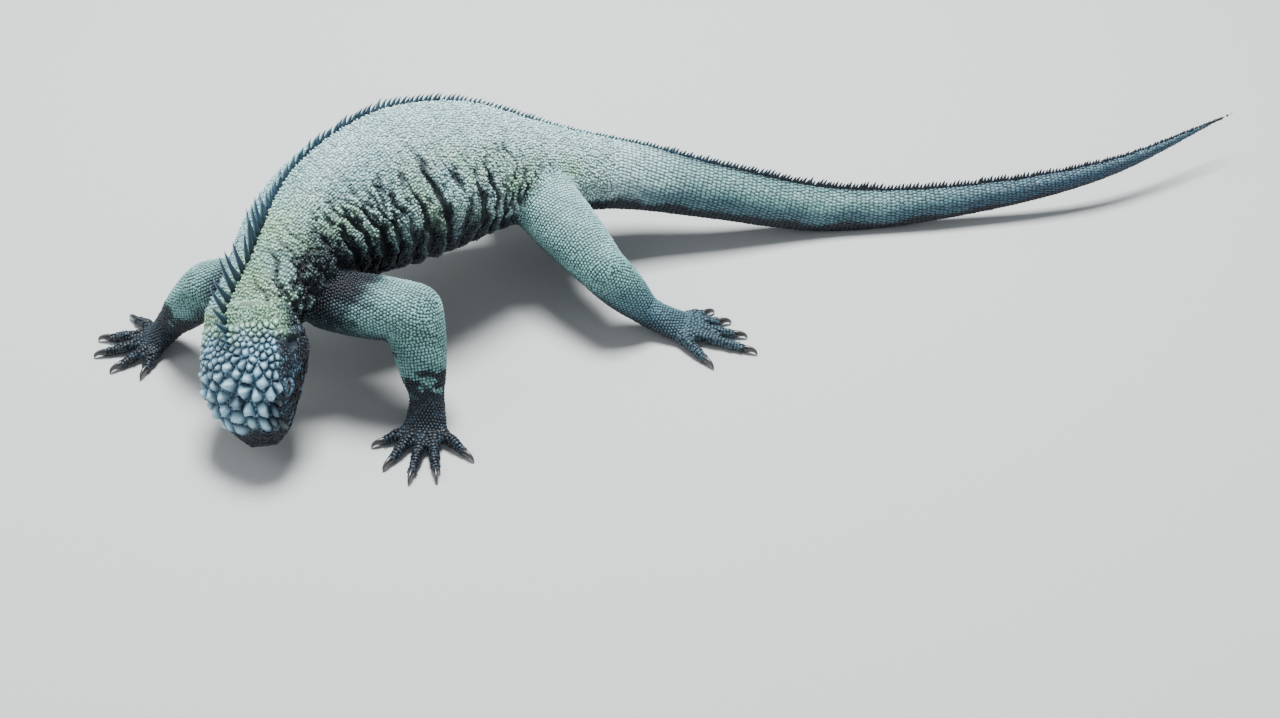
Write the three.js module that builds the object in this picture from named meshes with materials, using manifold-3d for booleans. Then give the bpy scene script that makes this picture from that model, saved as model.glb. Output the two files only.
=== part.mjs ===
// A marine iguana, life size, grazing with its head down and its tail stretched out behind.
// Millimetres, +Z up. It stands on the plane z = 0, with the origin under the middle of its box.
import * as THREE from "three";
import { mergeVertices } from "three/addons/utils/BufferGeometryUtils.js";
import Module from "manifold-3d";

const wasm = await Module();
wasm.setup();

// Driving dimensions

const GAP = 0.3; // left between two pieces that touch
const HEAD_LENGTH = 85; // back of the skull to the tip of the snout
const HEAD_WIDTH = 80; // across the jowls
const EYE_RADIUS = 7;
const CLAW_LENGTH = 10;
const CREST_STEP = { body: 7, tail: 10.5 }; // from one spine of the crest to the next
const TAIL_START = 0.4; // where the crest's tail spacing begins, as a share of the trunk's length
const SEED = 11;

// Stations of the trunk, from the neck to the tip of the tail: the place of the axis, the half width, the
// height above the axis, the depth below it, how roof-like the back is (1 is round, 2 a gable), how far the
// back leans to the animal's right in degrees, and the length of the crest's spines.
const TRUNK = [
  { name: "skull", at: [-289, -80, 66], half: 36, high: 27, low: 28, roof: 1.0, lean: 12, spine: 14 },
  { name: "occiput", at: [-287, -60, 85], half: 35, high: 26, low: 28, roof: 1.0, lean: 14, spine: 30 },
  { name: "nape", at: [-275, -34, 98], half: 38, high: 30, low: 33, roof: 1.1, lean: 16, spine: 32 },
  { name: "withers", at: [-252, 20, 106], half: 54, high: 48, low: 47, roof: 1.2, lean: 17, spine: 13 },
  { name: "chest", at: [-229, 50, 109], half: 63, high: 57, low: 54, roof: 1.25, lean: 16, spine: 12 },
  { name: "belly", at: [-190, 83, 108], half: 69, high: 64, low: 60, roof: 1.25, lean: 15, spine: 11 },
  { name: "loin", at: [-140, 115, 99], half: 60, high: 57, low: 53, roof: 1.25, lean: 15, spine: 8 },
  { name: "hip", at: [-92, 134, 87], half: 44, high: 42, low: 40, roof: 1.2, lean: 14, spine: 7 },
  { name: "vent", at: [-58, 146, 78], half: 33, high: 34, low: 34, roof: 1.15, lean: 12, spine: 4.5 },
  { name: "tail_root", at: [-10, 156, 66], half: 26, high: 29, low: 30, roof: 1.15, lean: 10, spine: 5 },
  { name: "tail_first", at: [60, 159, 47], half: 18, high: 25, low: 25, roof: 1.2, lean: 9, spine: 7 },
  { name: "tail_middle", at: [160, 169, 20.5], half: 12, high: 21, low: 21.5, roof: 1.25, lean: 8, spine: 8 },
  { name: "tail_third", at: [265, 178, 21], half: 8.5, high: 16, low: 16, roof: 1.25, lean: 7, spine: 7.5 },
  { name: "tail_fourth", at: [396, 207, 32], half: 5.5, high: 10, low: 10, roof: 1.2, lean: 6, spine: 5 },
  { name: "tail_tip", at: [529, 281, 42], half: 1.2, high: 1.6, low: 1.6, roof: 1.0, lean: 0, spine: 1.5 },
];

// Where the trunk is parted, as shares of its length, with the rings and sides of each piece.
const TRUNK_PIECES = [
  { name: "neck", to: 0.115, rings: 8, around: 24 },
  { name: "chest", to: 0.205, rings: 8, around: 26 },
  { name: "abdomen", to: 0.32, rings: 10, around: 26 },
  { name: "pelvis", to: 0.4, rings: 8, around: 22 },
  { name: "tail_1", to: 0.51, rings: 8, around: 16 },
  { name: "tail_2", to: 0.65, rings: 8, around: 14 },
  { name: "tail_3", to: 0.81, rings: 8, around: 12 },
  { name: "tail_4", to: 1, rings: 9, around: 10 },
];

// The legs, from the shoulder or hip down. Each joint has its place and the radius of the limb there.
const LEGS = {
  arm_left: {
    names: ["upper_arm_left", "forearm_left", "hand_left"],
    joints: [
      { at: [-232, -26, 82], radius: 22 },
      { at: [-167, -42, 84], radius: 22 },
      { at: [-159, -70, 27], radius: 13 },
    ],
    foot: "hand",
    knuckles: [-161, -92, 6.5],
    inner: -1,
  },
  arm_right: {
    names: ["upper_arm_right", "forearm_right", "hand_right"],
    joints: [
      { at: [-292, -8, 80], radius: 22 },
      { at: [-326, -4, 78], radius: 19 },
      { at: [-366, 18, 25], radius: 12.5 },
    ],
    foot: "hand",
    knuckles: [-385, 14, 6.5],
    inner: 1,
  },
  leg_left: {
    names: ["thigh_left", "shank_left", "foot_left"],
    joints: [
      { at: [-84, 112, 80], radius: 27 },
      { at: [-29, 40, 58], radius: 19 },
      { at: [4, 36, 20], radius: 12 },
    ],
    foot: "foot",
    knuckles: [36, 30, 6.5],
    inner: 1,
  },
  leg_right: {
    names: ["thigh_right", "shank_right", "foot_right"],
    joints: [
      { at: [-98, 156, 76], radius: 27 },
      { at: [-128, 222, 52], radius: 19 },
      { at: [-92, 236, 20], radius: 12 },
    ],
    foot: "foot",
    knuckles: [-62, 246, 6.5],
    inner: -1,
  },
};

// The digits of a hand and of a foot, from the thumb or big toe outwards: how far the digit turns from the
// foot's own direction towards the inner side, in degrees, and its length without the claw.
const DIGITS = {
  hand: [
    { turn: 62, length: 21 },
    { turn: 27, length: 33 },
    { turn: 4, length: 41 },
    { turn: -13, length: 39 },
    { turn: -52, length: 27 },
  ],
  foot: [
    { turn: 40, length: 20 },
    { turn: 20, length: 31 },
    { turn: 4, length: 44 },
    { turn: -8, length: 55 },
    { turn: -40, length: 33 },
  ],
};
const DIGIT_RADIUS = { root: 5.6, tip: 3.9 };

// The head's place: the middle of its rear, the tip of the snout, and the way the crown faces.
const HEAD = {
  rear: [-284, -63, 84],
  snout: [-275, -117, 23],
  crown: [-0.5, -0.5, 0.7],
};

const SKIN = new THREE.MeshStandardMaterial({ color: "#8fa39c", roughness: 0.85, metalness: 0 });
const FACE = new THREE.MeshStandardMaterial({ color: "#6d8792", roughness: 0.8, metalness: 0 });
const HORN = new THREE.MeshStandardMaterial({ color: "#22262a", roughness: 0.45, metalness: 0 });
const EYE = new THREE.MeshStandardMaterial({ color: "#1c130e", roughness: 0.08, metalness: 0 });

// Small tools

const vec = (a) => new THREE.Vector3(...a);
const degrees = THREE.MathUtils.degToRad;
const UP = new THREE.Vector3(0, 0, 1);

/** Numbers from 0 to 1 that come in the same order every time. */
function seeded(seed) {
  let state = seed;
  return () => {
    state = (state * 1664525 + 1013904223) % 4294967296;
    return state / 4294967296;
  };
}

/** A power that keeps its base's sign. */
const signedPower = (x, power) => Math.sign(x) * Math.abs(x) ** power;

/** A smooth function through [place, value] pairs, level beyond both ends. */
function smooth(pairs) {
  const last = pairs.length - 1;
  const slope = (i) => {
    const [a, b] = [pairs[Math.max(i - 1, 0)], pairs[Math.min(i + 1, last)]];
    return (b[1] - a[1]) / (b[0] - a[0]);
  };
  return (x) => {
    if (x <= pairs[0][0]) return pairs[0][1];
    if (x >= pairs[last][0]) return pairs[last][1];
    const i = pairs.findIndex((p) => p[0] > x) - 1;
    const [[x0, y0], [x1, y1]] = [pairs[i], pairs[i + 1]];
    const width = x1 - x0;
    const t = (x - x0) / width;
    const ease = t * t * (3 - 2 * t);
    const leave = t * (1 - t) ** 2 * width * slope(i);
    const arrive = t * t * (t - 1) * width * slope(i + 1);
    return y0 + (y1 - y0) * ease + leave + arrive;
  };
}

/** A closed mesh as a solid that can be joined and cut. */
function solid(geometry) {
  const bare = new THREE.BufferGeometry().setAttribute("position", geometry.getAttribute("position"));
  if (geometry.index) bare.setIndex(geometry.index);
  const merged = mergeVertices(bare, 1e-3);
  const build = (triVerts) =>
    new wasm.Manifold(
      new wasm.Mesh({
        numProp: 3,
        vertProperties: new Float32Array(merged.attributes.position.array),
        triVerts,
      }),
    );
  const triangles = new Uint32Array(merged.index.array);
  const made = build(triangles);
  return made.volume() > 0 ? made : build(triangles.reverse());
}

/** The largest closed body of a solid. */
function largest(made) {
  return made.decompose().reduce((a, b) => (b.volume() > a.volume() ? b : a));
}

/** A solid as a named mesh. */
function asMesh(name, made, material) {
  const { vertProperties, triVerts } = largest(made).getMesh();
  const geometry = new THREE.BufferGeometry();
  geometry.setAttribute("position", new THREE.BufferAttribute(vertProperties, 3));
  geometry.setIndex(new THREE.BufferAttribute(triVerts, 1));
  geometry.computeVertexNormals();
  const mesh = new THREE.Mesh(geometry, material);
  mesh.name = name;
  return mesh;
}

/** A closed tube: place(share, angle) gives the point of its surface at a share of its length. */
function tube(around, rings, place, end = [0, 1]) {
  const geometry = new THREE.CylinderGeometry(1, 1, 1, around, rings);
  const at = geometry.getAttribute("position");
  for (let i = 0; i < at.count; i++) {
    const share = 0.5 - at.getY(i);
    const radius = Math.hypot(at.getX(i), at.getZ(i));
    const angle = Math.atan2(at.getX(i), at.getZ(i));
    const along = end[0] + (end[1] - end[0]) * share;
    const p = place(along, angle);
    if (radius < 0.5) p.copy(middle(along, place));
    at.setXYZ(i, p.x, p.y, p.z);
  }
  return geometry;
}

/** The middle of the ring at one share of a tube. */
function middle(share, place) {
  return place(share, 0)
    .add(place(share, Math.PI))
    .add(place(share, Math.PI / 2))
    .add(place(share, -Math.PI / 2))
    .multiplyScalar(0.25);
}

/** Everything in front of a plane, as a solid large enough to cut with. */
function beyond(point, direction, size = 400) {
  const box = new THREE.BoxGeometry(size, size, size).translate(0, 0, size / 2);
  box.applyQuaternion(new THREE.Quaternion().setFromUnitVectors(UP, direction.clone().normalize()));
  return solid(box.translate(...point.toArray()));
}

const FLOOR = beyond(new THREE.Vector3(), new THREE.Vector3(0, 0, -1), 1600);

// The trunk: one tapering tube from the neck to the tip of the tail

const axis = new THREE.CatmullRomCurve3(TRUNK.map((s) => vec(s.at)), false, "centripetal");
axis.arcLengthDivisions = 2000;
const axisLength = axis.getLength();

/** The share of the trunk's length at each station. */
const STATION_SHARES = TRUNK.map((_, i) => {
  const lengths = axis.getLengths();
  return lengths[Math.round((i / (TRUNK.length - 1)) * axis.arcLengthDivisions)] / axisLength;
});
const sizeOf = Object.fromEntries(
  ["half", "high", "low", "roof", "lean", "spine"].map((key) => [
    key,
    smooth(TRUNK.map((s, i) => [STATION_SHARES[i], s[key]])),
  ]),
);

/** The trunk's own directions at a share of its length: forward, dorsal and left. */
function trunkFrame(share) {
  const forward = axis.getTangentAt(share).negate();
  const upright = UP.clone().addScaledVector(forward, -UP.dot(forward)).normalize();
  const level = upright.clone().cross(forward);
  const lean = degrees(sizeOf.lean(share));
  const dorsal = upright.clone().multiplyScalar(Math.cos(lean)).addScaledVector(level, -Math.sin(lean));
  return { at: axis.getPointAt(share), forward, dorsal, left: dorsal.clone().cross(forward) };
}

/** A point of the trunk's skin. The angle is 0 on the back and a quarter turn on the left flank. */
function trunkSkin(share, angle, grow = 0) {
  const { at, dorsal, left } = trunkFrame(share);
  const [s, c] = [Math.sin(angle), Math.cos(angle)];
  const power = c > 0 ? sizeOf.roof(share) : 0.95;
  const sideways = (sizeOf.half(share) + grow) * signedPower(s, power);
  const upwards = ((c > 0 ? sizeOf.high(share) : sizeOf.low(share)) + grow) * signedPower(c, power);
  return at.addScaledVector(left, sideways).addScaledVector(dorsal, upwards);
}

/** A stretch of the trunk between two shares of its length. */
function trunkStretch(from, to, around, rings, grow = 0) {
  return solid(tube(around, rings, (share, angle) => trunkSkin(share, angle, grow), [from, to]));
}

/** One spine of the crest: a flat blade with its root sunk in the back, swept towards the tail. */
function spine(share, tall) {
  const { forward, dorsal, left } = trunkFrame(share);
  const sway = (random() - 0.5) * 0.28;
  const foot = trunkSkin(share, 0).addScaledVector(dorsal, -2.5);
  const long = 2.5 + tall;
  return solid(
    tube(4, 1, (t, angle) => {
      const thick = 1 - 0.86 * t;
      return foot
        .clone()
        .addScaledVector(dorsal, long * t)
        .addScaledVector(forward, -0.55 * tall * t * t + 2.3 * thick * Math.cos(angle))
        .addScaledVector(left, sway * long * t + 1.25 * thick * Math.sin(angle));
    }),
  );
}

/** The spines that stand on a stretch of the back, clear of its ends. */
function spines(from, to) {
  const clear = 3.6 / axisLength;
  const made = [];
  while (crestAt < to - clear) {
    const tall = sizeOf.spine(crestAt) * (0.85 + 0.3 * random());
    if (crestAt > from + clear) made.push(spine(crestAt, tall));
    const step = crestAt < TAIL_START ? CREST_STEP.body : CREST_STEP.tail;
    crestAt += (step * (0.9 + 0.2 * random())) / axisLength;
  }
  return made;
}

/** The plane that parts two pieces at their joint: half way between their directions. */
function jointPlane(before, joint, after) {
  const inwards = vec(joint).sub(vec(before)).normalize();
  const outwards = vec(after).sub(vec(joint)).normalize();
  return inwards.add(outwards).normalize();
}

/** What is left of a piece behind a thin cut through a joint. */
function cutAway(made, point, direction) {
  const edge = vec(point).addScaledVector(direction, -GAP / 2);
  return made.subtract(beyond(edge, direction));
}

const random = seeded(SEED);
let crestAt = 0.03;

const parts = new THREE.Group();
const neckPlane = jointPlane(TRUNK[2].at, HEAD.rear, HEAD.snout);

let from = 0;
for (const { name, to, rings, around } of TRUNK_PIECES) {
  const inset = GAP / 2 / axisLength;
  const [start, stop] = [from + (from > 0 ? inset : 0), to - (to < 1 ? inset : 0)];
  const body = trunkStretch(start, stop, around, rings);
  let piece = spines(start, stop).reduce((all, one) => all.add(one), body).subtract(FLOOR);
  if (name === "neck") piece = cutAway(piece, HEAD.rear, neckPlane);
  parts.add(asMesh(name, piece, SKIN));
  from = to;
}
const trunkClear = trunkStretch(0, 0.5, 40, 60, 4 * GAP);

// The legs

/** A tapering round limb from one joint to the next, with round ends. */
function limb(a, b, around, bulge, rings = 9) {
  const [start, stop] = [vec(a.at), vec(b.at)];
  const line = stop.clone().sub(start);
  const long = line.length();
  const turn = new THREE.Quaternion().setFromUnitVectors(UP, line.clone().normalize());
  const [first, last] = [-a.radius, long + b.radius];
  const place = (share, angle) => {
    const along = first + (last - first) * share;
    const mid = THREE.MathUtils.clamp(along / long, 0, 1);
    let radius = a.radius + (b.radius - a.radius) * mid + bulge * Math.sin(Math.PI * mid);
    if (along < 0) radius = Math.sqrt(Math.max(a.radius ** 2 - along ** 2, 0.04));
    if (along > long) radius = Math.sqrt(Math.max(b.radius ** 2 - (along - long) ** 2, 0.04));
    return new THREE.Vector3(radius * Math.sin(angle), radius * Math.cos(angle), along)
      .applyQuaternion(turn)
      .add(start);
  };
  return solid(tube(around, rings, place));
}

/** A closed tube along a curve, as wide across as it is tall unless its sizes differ. */
function stalk(curve, across, around, rings, radius) {
  return solid(
    tube(around, rings, (share, angle) => {
      const over = curve.getTangent(share).cross(across).normalize();
      const [wide, tall] = radius(share);
      return curve
        .getPoint(share)
        .addScaledVector(across, wide * Math.sin(angle))
        .addScaledVector(over, tall * Math.cos(angle));
    }),
  );
}

/** A digit as an arched stalk lying along the ground, and the claw at its end. */
function digit(root, heading, length) {
  const along = (start, reach, z) => start.clone().addScaledVector(heading, reach).setZ(z);
  const side = UP.clone().cross(heading);
  const line = new THREE.CubicBezierCurve3(
    root,
    along(root, length * 0.35, 9.5),
    along(root, length * 0.8, 3.7),
    along(root, length, 3.7),
  );
  const nail = along(root, length + GAP, 3.9);
  const hook = new THREE.CubicBezierCurve3(
    nail,
    along(nail, CLAW_LENGTH * 0.45, 3.9),
    along(nail, CLAW_LENGTH * 0.95, 5.2),
    along(nail, CLAW_LENGTH, 0.7),
  );
  return {
    finger: stalk(line, side, 6, 3, (share) => {
      const thick = THREE.MathUtils.lerp(DIGIT_RADIUS.root, DIGIT_RADIUS.tip, share);
      return [thick, thick];
    }),
    claw: stalk(hook, side, 6, 3, (share) => {
      const thick = 3.2 * Math.max(1 - share, 0) ** 0.7 + 0.35;
      return [0.8 * thick, thick];
    }),
  };
}

/** A hand or foot with its five digits, and the claws apart. */
function extremity(leg) {
  const [, bend, ankle] = leg.joints;
  const knuckles = vec(leg.knuckles);
  const heading = knuckles.clone().sub(vec(ankle.at)).setZ(0).normalize();
  const across = UP.clone().cross(heading).multiplyScalar(leg.inner);
  const back = vec(bend.at).lerp(vec(ankle.at), 0.6);
  const front = knuckles.clone().addScaledVector(heading, 4).setZ(6);
  const line = new THREE.CatmullRomCurve3([back, vec(ankle.at), knuckles, front], false, "centripetal");
  let made = stalk(line, across.clone().multiplyScalar(-leg.inner), 12, 7, (share) => {
    const shape = smooth([
      [0, 0],
      [0.45, 0],
      [0.9, 1],
      [1, 0.85],
    ])(share);
    return [ankle.radius + 4.5 * shape, THREE.MathUtils.lerp(ankle.radius, 8, shape)];
  });
  const claws = DIGITS[leg.foot].map(({ turn, length }, i) => {
    const lie = heading.clone().applyAxisAngle(UP, degrees(turn * leg.inner));
    const spread = ((2 - i) / 2) * (ankle.radius - 1);
    const root = knuckles.clone().addScaledVector(across, spread).addScaledVector(heading, -3).setZ(6);
    const { finger, claw } = digit(root, lie, length);
    made = made.add(finger);
    return claw;
  });
  return { made, claws };
}

for (const leg of Object.values(LEGS)) {
  const [root, bend, ankle] = leg.joints;
  const [upperName, lowerName, footName] = leg.names;
  const bendPlane = jointPlane(root.at, bend.at, ankle.at);
  const anklePlane = jointPlane(bend.at, ankle.at, leg.knuckles);
  const upper = cutAway(limb(root, bend, 14, 2), bend.at, bendPlane).subtract(trunkClear);
  let lower = cutAway(limb(bend, ankle, 12, 2), bend.at, bendPlane.clone().negate());
  lower = cutAway(lower, ankle.at, anklePlane);
  const { made, claws } = extremity(leg);
  const foot = cutAway(made, ankle.at, anklePlane.clone().negate()).subtract(FLOOR);
  parts.add(asMesh(upperName, upper, SKIN));
  parts.add(asMesh(lowerName, lower, SKIN));
  parts.add(asMesh(footName, foot, SKIN));
  claws.forEach((claw, i) => parts.add(asMesh(`claw_${footName}_${i + 1}`, claw.subtract(FLOOR), HORN)));
}

// The head, in directions of its own: x to the animal's right, y towards the snout, z out of the crown.
// Its rear face lies on y = 0.

const MOUTH = { height: -9, back: 22 }; // the line of the mouth, and the corner of the jaw
const NECK_REACH = 20; // how far the head's stock runs back into the neck before it is cut
const EYE_PLACE = [30.5, 42, 8];
const headWide = smooth([
  [-20, 35],
  [0, 38],
  [14, HEAD_WIDTH / 2],
  [29, 39],
  [47, 33.5],
  [63, 27],
  [74, 21],
  [82, 14],
  [HEAD_LENGTH, 10],
]);
const profile = (places, values) => smooth(places.map((y, i) => [y, values[i]]));
const headHigh = profile([-20, 0, 16, 34, 52, 65, 76, 85], [25, 26, 28, 29, 26.5, 21, 14, 6]);
const headLow = profile([-20, 0, 16, 34, 52, 67, 78, 85], [27, 28, 28, 25, 20, 17, 14.5, 8]);
const headSquare = profile([-10, 34, 67, 85], [1, 0.82, 0.8, 0.9]);

/** A point of the bare head at a distance from its rear. The angle is 0 on the crown. */
function headSkin(y, angle, grow = 0) {
  const [s, c] = [Math.sin(angle), Math.cos(angle)];
  const power = headSquare(y);
  const bump = (middle, width, at, reach) =>
    Math.exp(-(((Math.abs(angle) - middle) / width) ** 2) - ((y - at) / reach) ** 2);
  const lips = 1.3 * bump(1.95, 0.22, 0, 1e6) * THREE.MathUtils.smoothstep(y, 18, 34);
  const brow = 2.2 * bump(1.0, 0.3, EYE_PLACE[1], 10);
  const jowl = 4.5 * bump(2.0, 0.55, 12, 17);
  const out = grow + lips + brow + jowl;
  return new THREE.Vector3(
    (headWide(y) + out) * signedPower(s, power),
    y,
    ((c > 0 ? headHigh(y) : headLow(y)) + out) * signedPower(c, power),
  );
}


/** The distance from the head's rear at a share of its skin. */
function bluntness(share) {
  return -NECK_REACH + (HEAD_LENGTH + NECK_REACH) * Math.sin((share * Math.PI) / 2) ** 1.1;
}

const bulk = (grow) => solid(tube(24, 14, (share, angle) => headSkin(bluntness(share), angle, grow)));

const toWorld = new THREE.Matrix4();
const snoutwards = vec(HEAD.snout).sub(vec(HEAD.rear)).normalize();
const crownwards = vec(HEAD.crown).addScaledVector(snoutwards, -vec(HEAD.crown).dot(snoutwards)).normalize();
toWorld.makeBasis(snoutwards.clone().cross(crownwards), snoutwards, crownwards);
toWorld.setPosition(vec(HEAD.rear));
const neckPlaneHere = neckPlane.clone().transformDirection(toWorld.clone().invert());
const skull = cutAway(bulk(0), [0, 0, 0], neckPlaneHere.negate());

/** Both eyes' places: right first. */
const eyePlaces = [1, -1].map((side) => new THREE.Vector3(side * EYE_PLACE[0], EYE_PLACE[1], EYE_PLACE[2]));
const ball = (at, radius, wide = 14) =>
  solid(new THREE.SphereGeometry(radius, wide, wide / 2).translate(at.x, at.y, at.z));

/** A lid: a thick arc over or under the eye. */
function lid(at, lower) {
  const side = Math.sign(at.x);
  const reach = EYE_RADIUS - 0.6;
  const arc = new THREE.CatmullRomCurve3(
    [-1, -0.5, 0, 0.5, 1].map((k) => {
      const bow = Math.cos((k * Math.PI) / 2) * (lower ? -3.2 : 3.4);
      const out = side * (reach - 3.2 * k * k);
      return at.clone().add(new THREE.Vector3(out, k * (EYE_RADIUS + 1.2), bow));
    }),
  );
  const place = (share, angle) => {
    const thick = 2.1 * Math.sin(Math.PI * (0.12 + 0.76 * share));
    const along = arc.getTangentAt(share);
    const out = new THREE.Vector3(side, 0, 0).addScaledVector(along, -side * along.x).normalize();
    const over = along.clone().cross(out);
    return arc
      .getPointAt(share)
      .addScaledVector(out, thick * Math.cos(angle))
      .addScaledVector(over, thick * Math.sin(angle));
  };
  return solid(tube(5, 6, place));
}

/** One raised scale of the crown: a low cone with its root sunk in the skull. */
function tubercle(y, angle, wide, tall) {
  const foot = headSkin(y, angle);
  const side = headSkin(y, angle + 0.05).sub(foot);
  const ahead = headSkin(y + 1, angle).sub(foot).normalize();
  const out = side.clone().normalize().cross(ahead).negate();
  if (out.dot(foot.clone().setY(0)) < 0) out.negate();
  const across = ahead.clone().cross(out).normalize();
  return solid(
    tube(5, 1, (t, turn) => {
      const thick = wide * (1 - 0.72 * t);
      return foot
        .clone()
        .addScaledVector(out, -2 + (tall + 2) * t)
        .addScaledVector(ahead, thick * Math.cos(turn) + 1.2 * t)
        .addScaledVector(across, thick * Math.sin(turn));
    }),
  );
}

/** The crown's raised scales, in staggered rows that grow towards the snout. */
function crownScales() {
  const made = [];
  let row = 0;
  for (let y = 14; y < 78; y += 9.5, row++) {
    const large = THREE.MathUtils.smoothstep(y, 15, 48);
    const wide = 4.2 + 1.3 * large;
    const tall = 1.8 + 2.8 * large * (1 - 0.6 * THREE.MathUtils.smoothstep(y, 60, 78));
    const step = (2.2 * wide) / (0.5 * (headWide(y) + headHigh(y)));
    const reach = 1.1 - 0.15 * large;
    const count = Math.floor(reach / step);
    for (let k = -count; k <= count; k++) {
      const angle = (k + (row % 2 ? 0.5 : 0)) * step + 0.06 * (random() - 0.5);
      if (Math.abs(angle) >= reach) continue;
      const place = y + random() - 0.5;
      made.push(tubercle(place, angle, wide, tall * (0.8 + 0.4 * random())));
    }
  }
  return made;
}

let head = crownScales().reduce((all, one) => all.add(one), skull);
for (const at of eyePlaces) {
  head = head.add(lid(at, false)).add(lid(at, true)).subtract(ball(at, EYE_RADIUS + GAP));
  const side = Math.sign(at.x);
  const nostril = new THREE.SphereGeometry(2, 8, 6).scale(1, 1.5, 1).translate(side * 12, HEAD_LENGTH - 4, 5);
  const drum = new THREE.SphereGeometry(5.5, 10, 8).scale(0.4, 1, 1).translate(side * 42.5, 12, 2);
  head = head.subtract(solid(nostril)).subtract(solid(drum));
}

// The lower jaw is everything under the line of the mouth, in front of the jaw's corner.
const jawBlock = (grow) => {
  const outline = new THREE.Shape([
    new THREE.Vector2(MOUTH.back - grow, MOUTH.height - 3 + grow),
    new THREE.Vector2(MOUTH.back + 14, MOUTH.height + grow),
    new THREE.Vector2(HEAD_LENGTH + 10, MOUTH.height + 2.5 + grow),
    new THREE.Vector2(HEAD_LENGTH + 10, -60),
    new THREE.Vector2(MOUTH.back + 4 - grow, -60),
  ]);
  const block = new THREE.ExtrudeGeometry(outline, { depth: 120, bevelEnabled: false });
  block.applyMatrix4(
    new THREE.Matrix4().set(0, 0, 1, -60, 1, 0, 0, 0, 0, 1, 0, 0, 0, 0, 0, 1),
  );
  return solid(block);
};
const jaw = head.intersect(jawBlock(0));
head = head.subtract(jawBlock(2 * GAP));

const headGroup = new THREE.Group();
headGroup.matrixAutoUpdate = false;
headGroup.matrix.copy(toWorld);
headGroup.add(asMesh("head", head, FACE));
headGroup.add(asMesh("lower_jaw", jaw, FACE));
eyePlaces.forEach((at, i) => headGroup.add(asMesh(["eye_right", "eye_left"][i], ball(at, EYE_RADIUS), EYE)));
parts.add(headGroup);

// The origin goes under the middle of the whole animal's box.
const bounds = new THREE.Box3().setFromObject(parts, true);
const centre = bounds.getCenter(new THREE.Vector3());
parts.position.set(-centre.x, -centre.y, 0);
parts.userData.offset = [-centre.x, -centre.y, 0];

export default parts;
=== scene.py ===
"""A life-size marine iguana grazing head down: its skin, scales, crest, claws and eyes."""

import itertools
import logging
import math
from collections.abc import Callable
from dataclasses import dataclass, field
from enum import Enum

import bpy
import numpy as np
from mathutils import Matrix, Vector
from mathutils.bvhtree import BVHTree
from mathutils.kdtree import KDTree

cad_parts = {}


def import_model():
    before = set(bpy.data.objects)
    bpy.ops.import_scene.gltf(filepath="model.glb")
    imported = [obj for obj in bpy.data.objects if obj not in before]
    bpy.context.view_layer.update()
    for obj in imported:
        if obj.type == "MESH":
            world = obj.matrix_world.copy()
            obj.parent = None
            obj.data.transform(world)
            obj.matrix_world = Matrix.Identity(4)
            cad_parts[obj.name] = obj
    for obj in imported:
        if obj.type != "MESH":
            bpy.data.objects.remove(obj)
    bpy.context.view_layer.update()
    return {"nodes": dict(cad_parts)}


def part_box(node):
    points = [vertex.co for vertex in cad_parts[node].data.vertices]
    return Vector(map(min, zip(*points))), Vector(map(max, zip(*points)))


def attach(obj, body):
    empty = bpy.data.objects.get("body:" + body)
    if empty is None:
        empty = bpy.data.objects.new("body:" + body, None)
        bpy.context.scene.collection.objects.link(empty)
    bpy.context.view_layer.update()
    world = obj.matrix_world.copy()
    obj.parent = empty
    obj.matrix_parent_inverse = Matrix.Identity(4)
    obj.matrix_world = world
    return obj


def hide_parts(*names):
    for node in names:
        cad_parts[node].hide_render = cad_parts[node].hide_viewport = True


LOG = logging.getLogger("iguana")
MM = 0.001
UP = np.array([0.0, 0.0, 1.0])
# The power in which steps of colour look even.
EVEN = 0.45
# A short way along a surface, as a share of its length.
NEARBY = 0.004
# A cell of a grid and the cells that touch it.
AROUND = tuple(itertools.product((-1, 0, 1), repeat=3))
FLESH = (
    "neck chest abdomen pelvis tail_1 tail_2 tail_3 tail_4 head lower_jaw "
    "upper_arm_left forearm_left hand_left upper_arm_right forearm_right hand_right "
    "thigh_left shank_left foot_left thigh_right shank_right foot_right"
).split()

Pair = tuple[float, float]
Spot = tuple[float, float, float]
Shade = tuple[float, float, float]
Patch = tuple[float, float, float, float]
Sites = tuple[np.ndarray, np.ndarray, np.ndarray, np.ndarray]


def unit(v: np.ndarray) -> np.ndarray:
    """Vectors scaled to length one."""
    return v / np.maximum(np.linalg.norm(v, axis=-1, keepdims=True), 1e-12)


def step(x: np.ndarray, low: float, high: float) -> np.ndarray:
    """A smooth step from 0 at low to 1 at high."""
    t = np.clip((np.asarray(x, float) - low) / (high - low), 0, 1)
    return t * t * (3 - 2 * t)


def bell(x: np.ndarray, middle: float, width: float) -> np.ndarray:
    """A bump of height 1 round a middle."""
    return np.exp(-(((np.asarray(x, float) - middle) / width) ** 2))


def signed_power(x: np.ndarray, power: np.ndarray) -> np.ndarray:
    """A power that keeps its base's sign."""
    return np.sign(x) * np.abs(x) ** power


def paint(red: float, green: float, blue: float) -> np.ndarray:
    """A screen colour as the linear colour that a shader takes."""
    c = np.array([red, green, blue], float)
    return np.where(c <= 0.04045, c / 12.92, ((c + 0.055) / 1.055) ** 2.4)


def ripple(points: np.ndarray, size: float, seed: int) -> np.ndarray:
    """Smooth irregular waves through space, from about -1 to 1.

    Args:
        points: Places, in millimetres.
        size: The usual distance from one wave to the next.
        seed: Picks the waves.

    Returns:
        One number for each place.
    """
    rng = np.random.default_rng(seed)
    total = np.zeros(points.shape[:-1])
    for _ in range(7):
        way = unit(rng.normal(size=3)) * (2 * math.pi / size) * rng.uniform(0.6, 1.6)
        total += np.sin(points @ way + rng.uniform(0, 2 * math.pi))
    return total / 3.2


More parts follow.
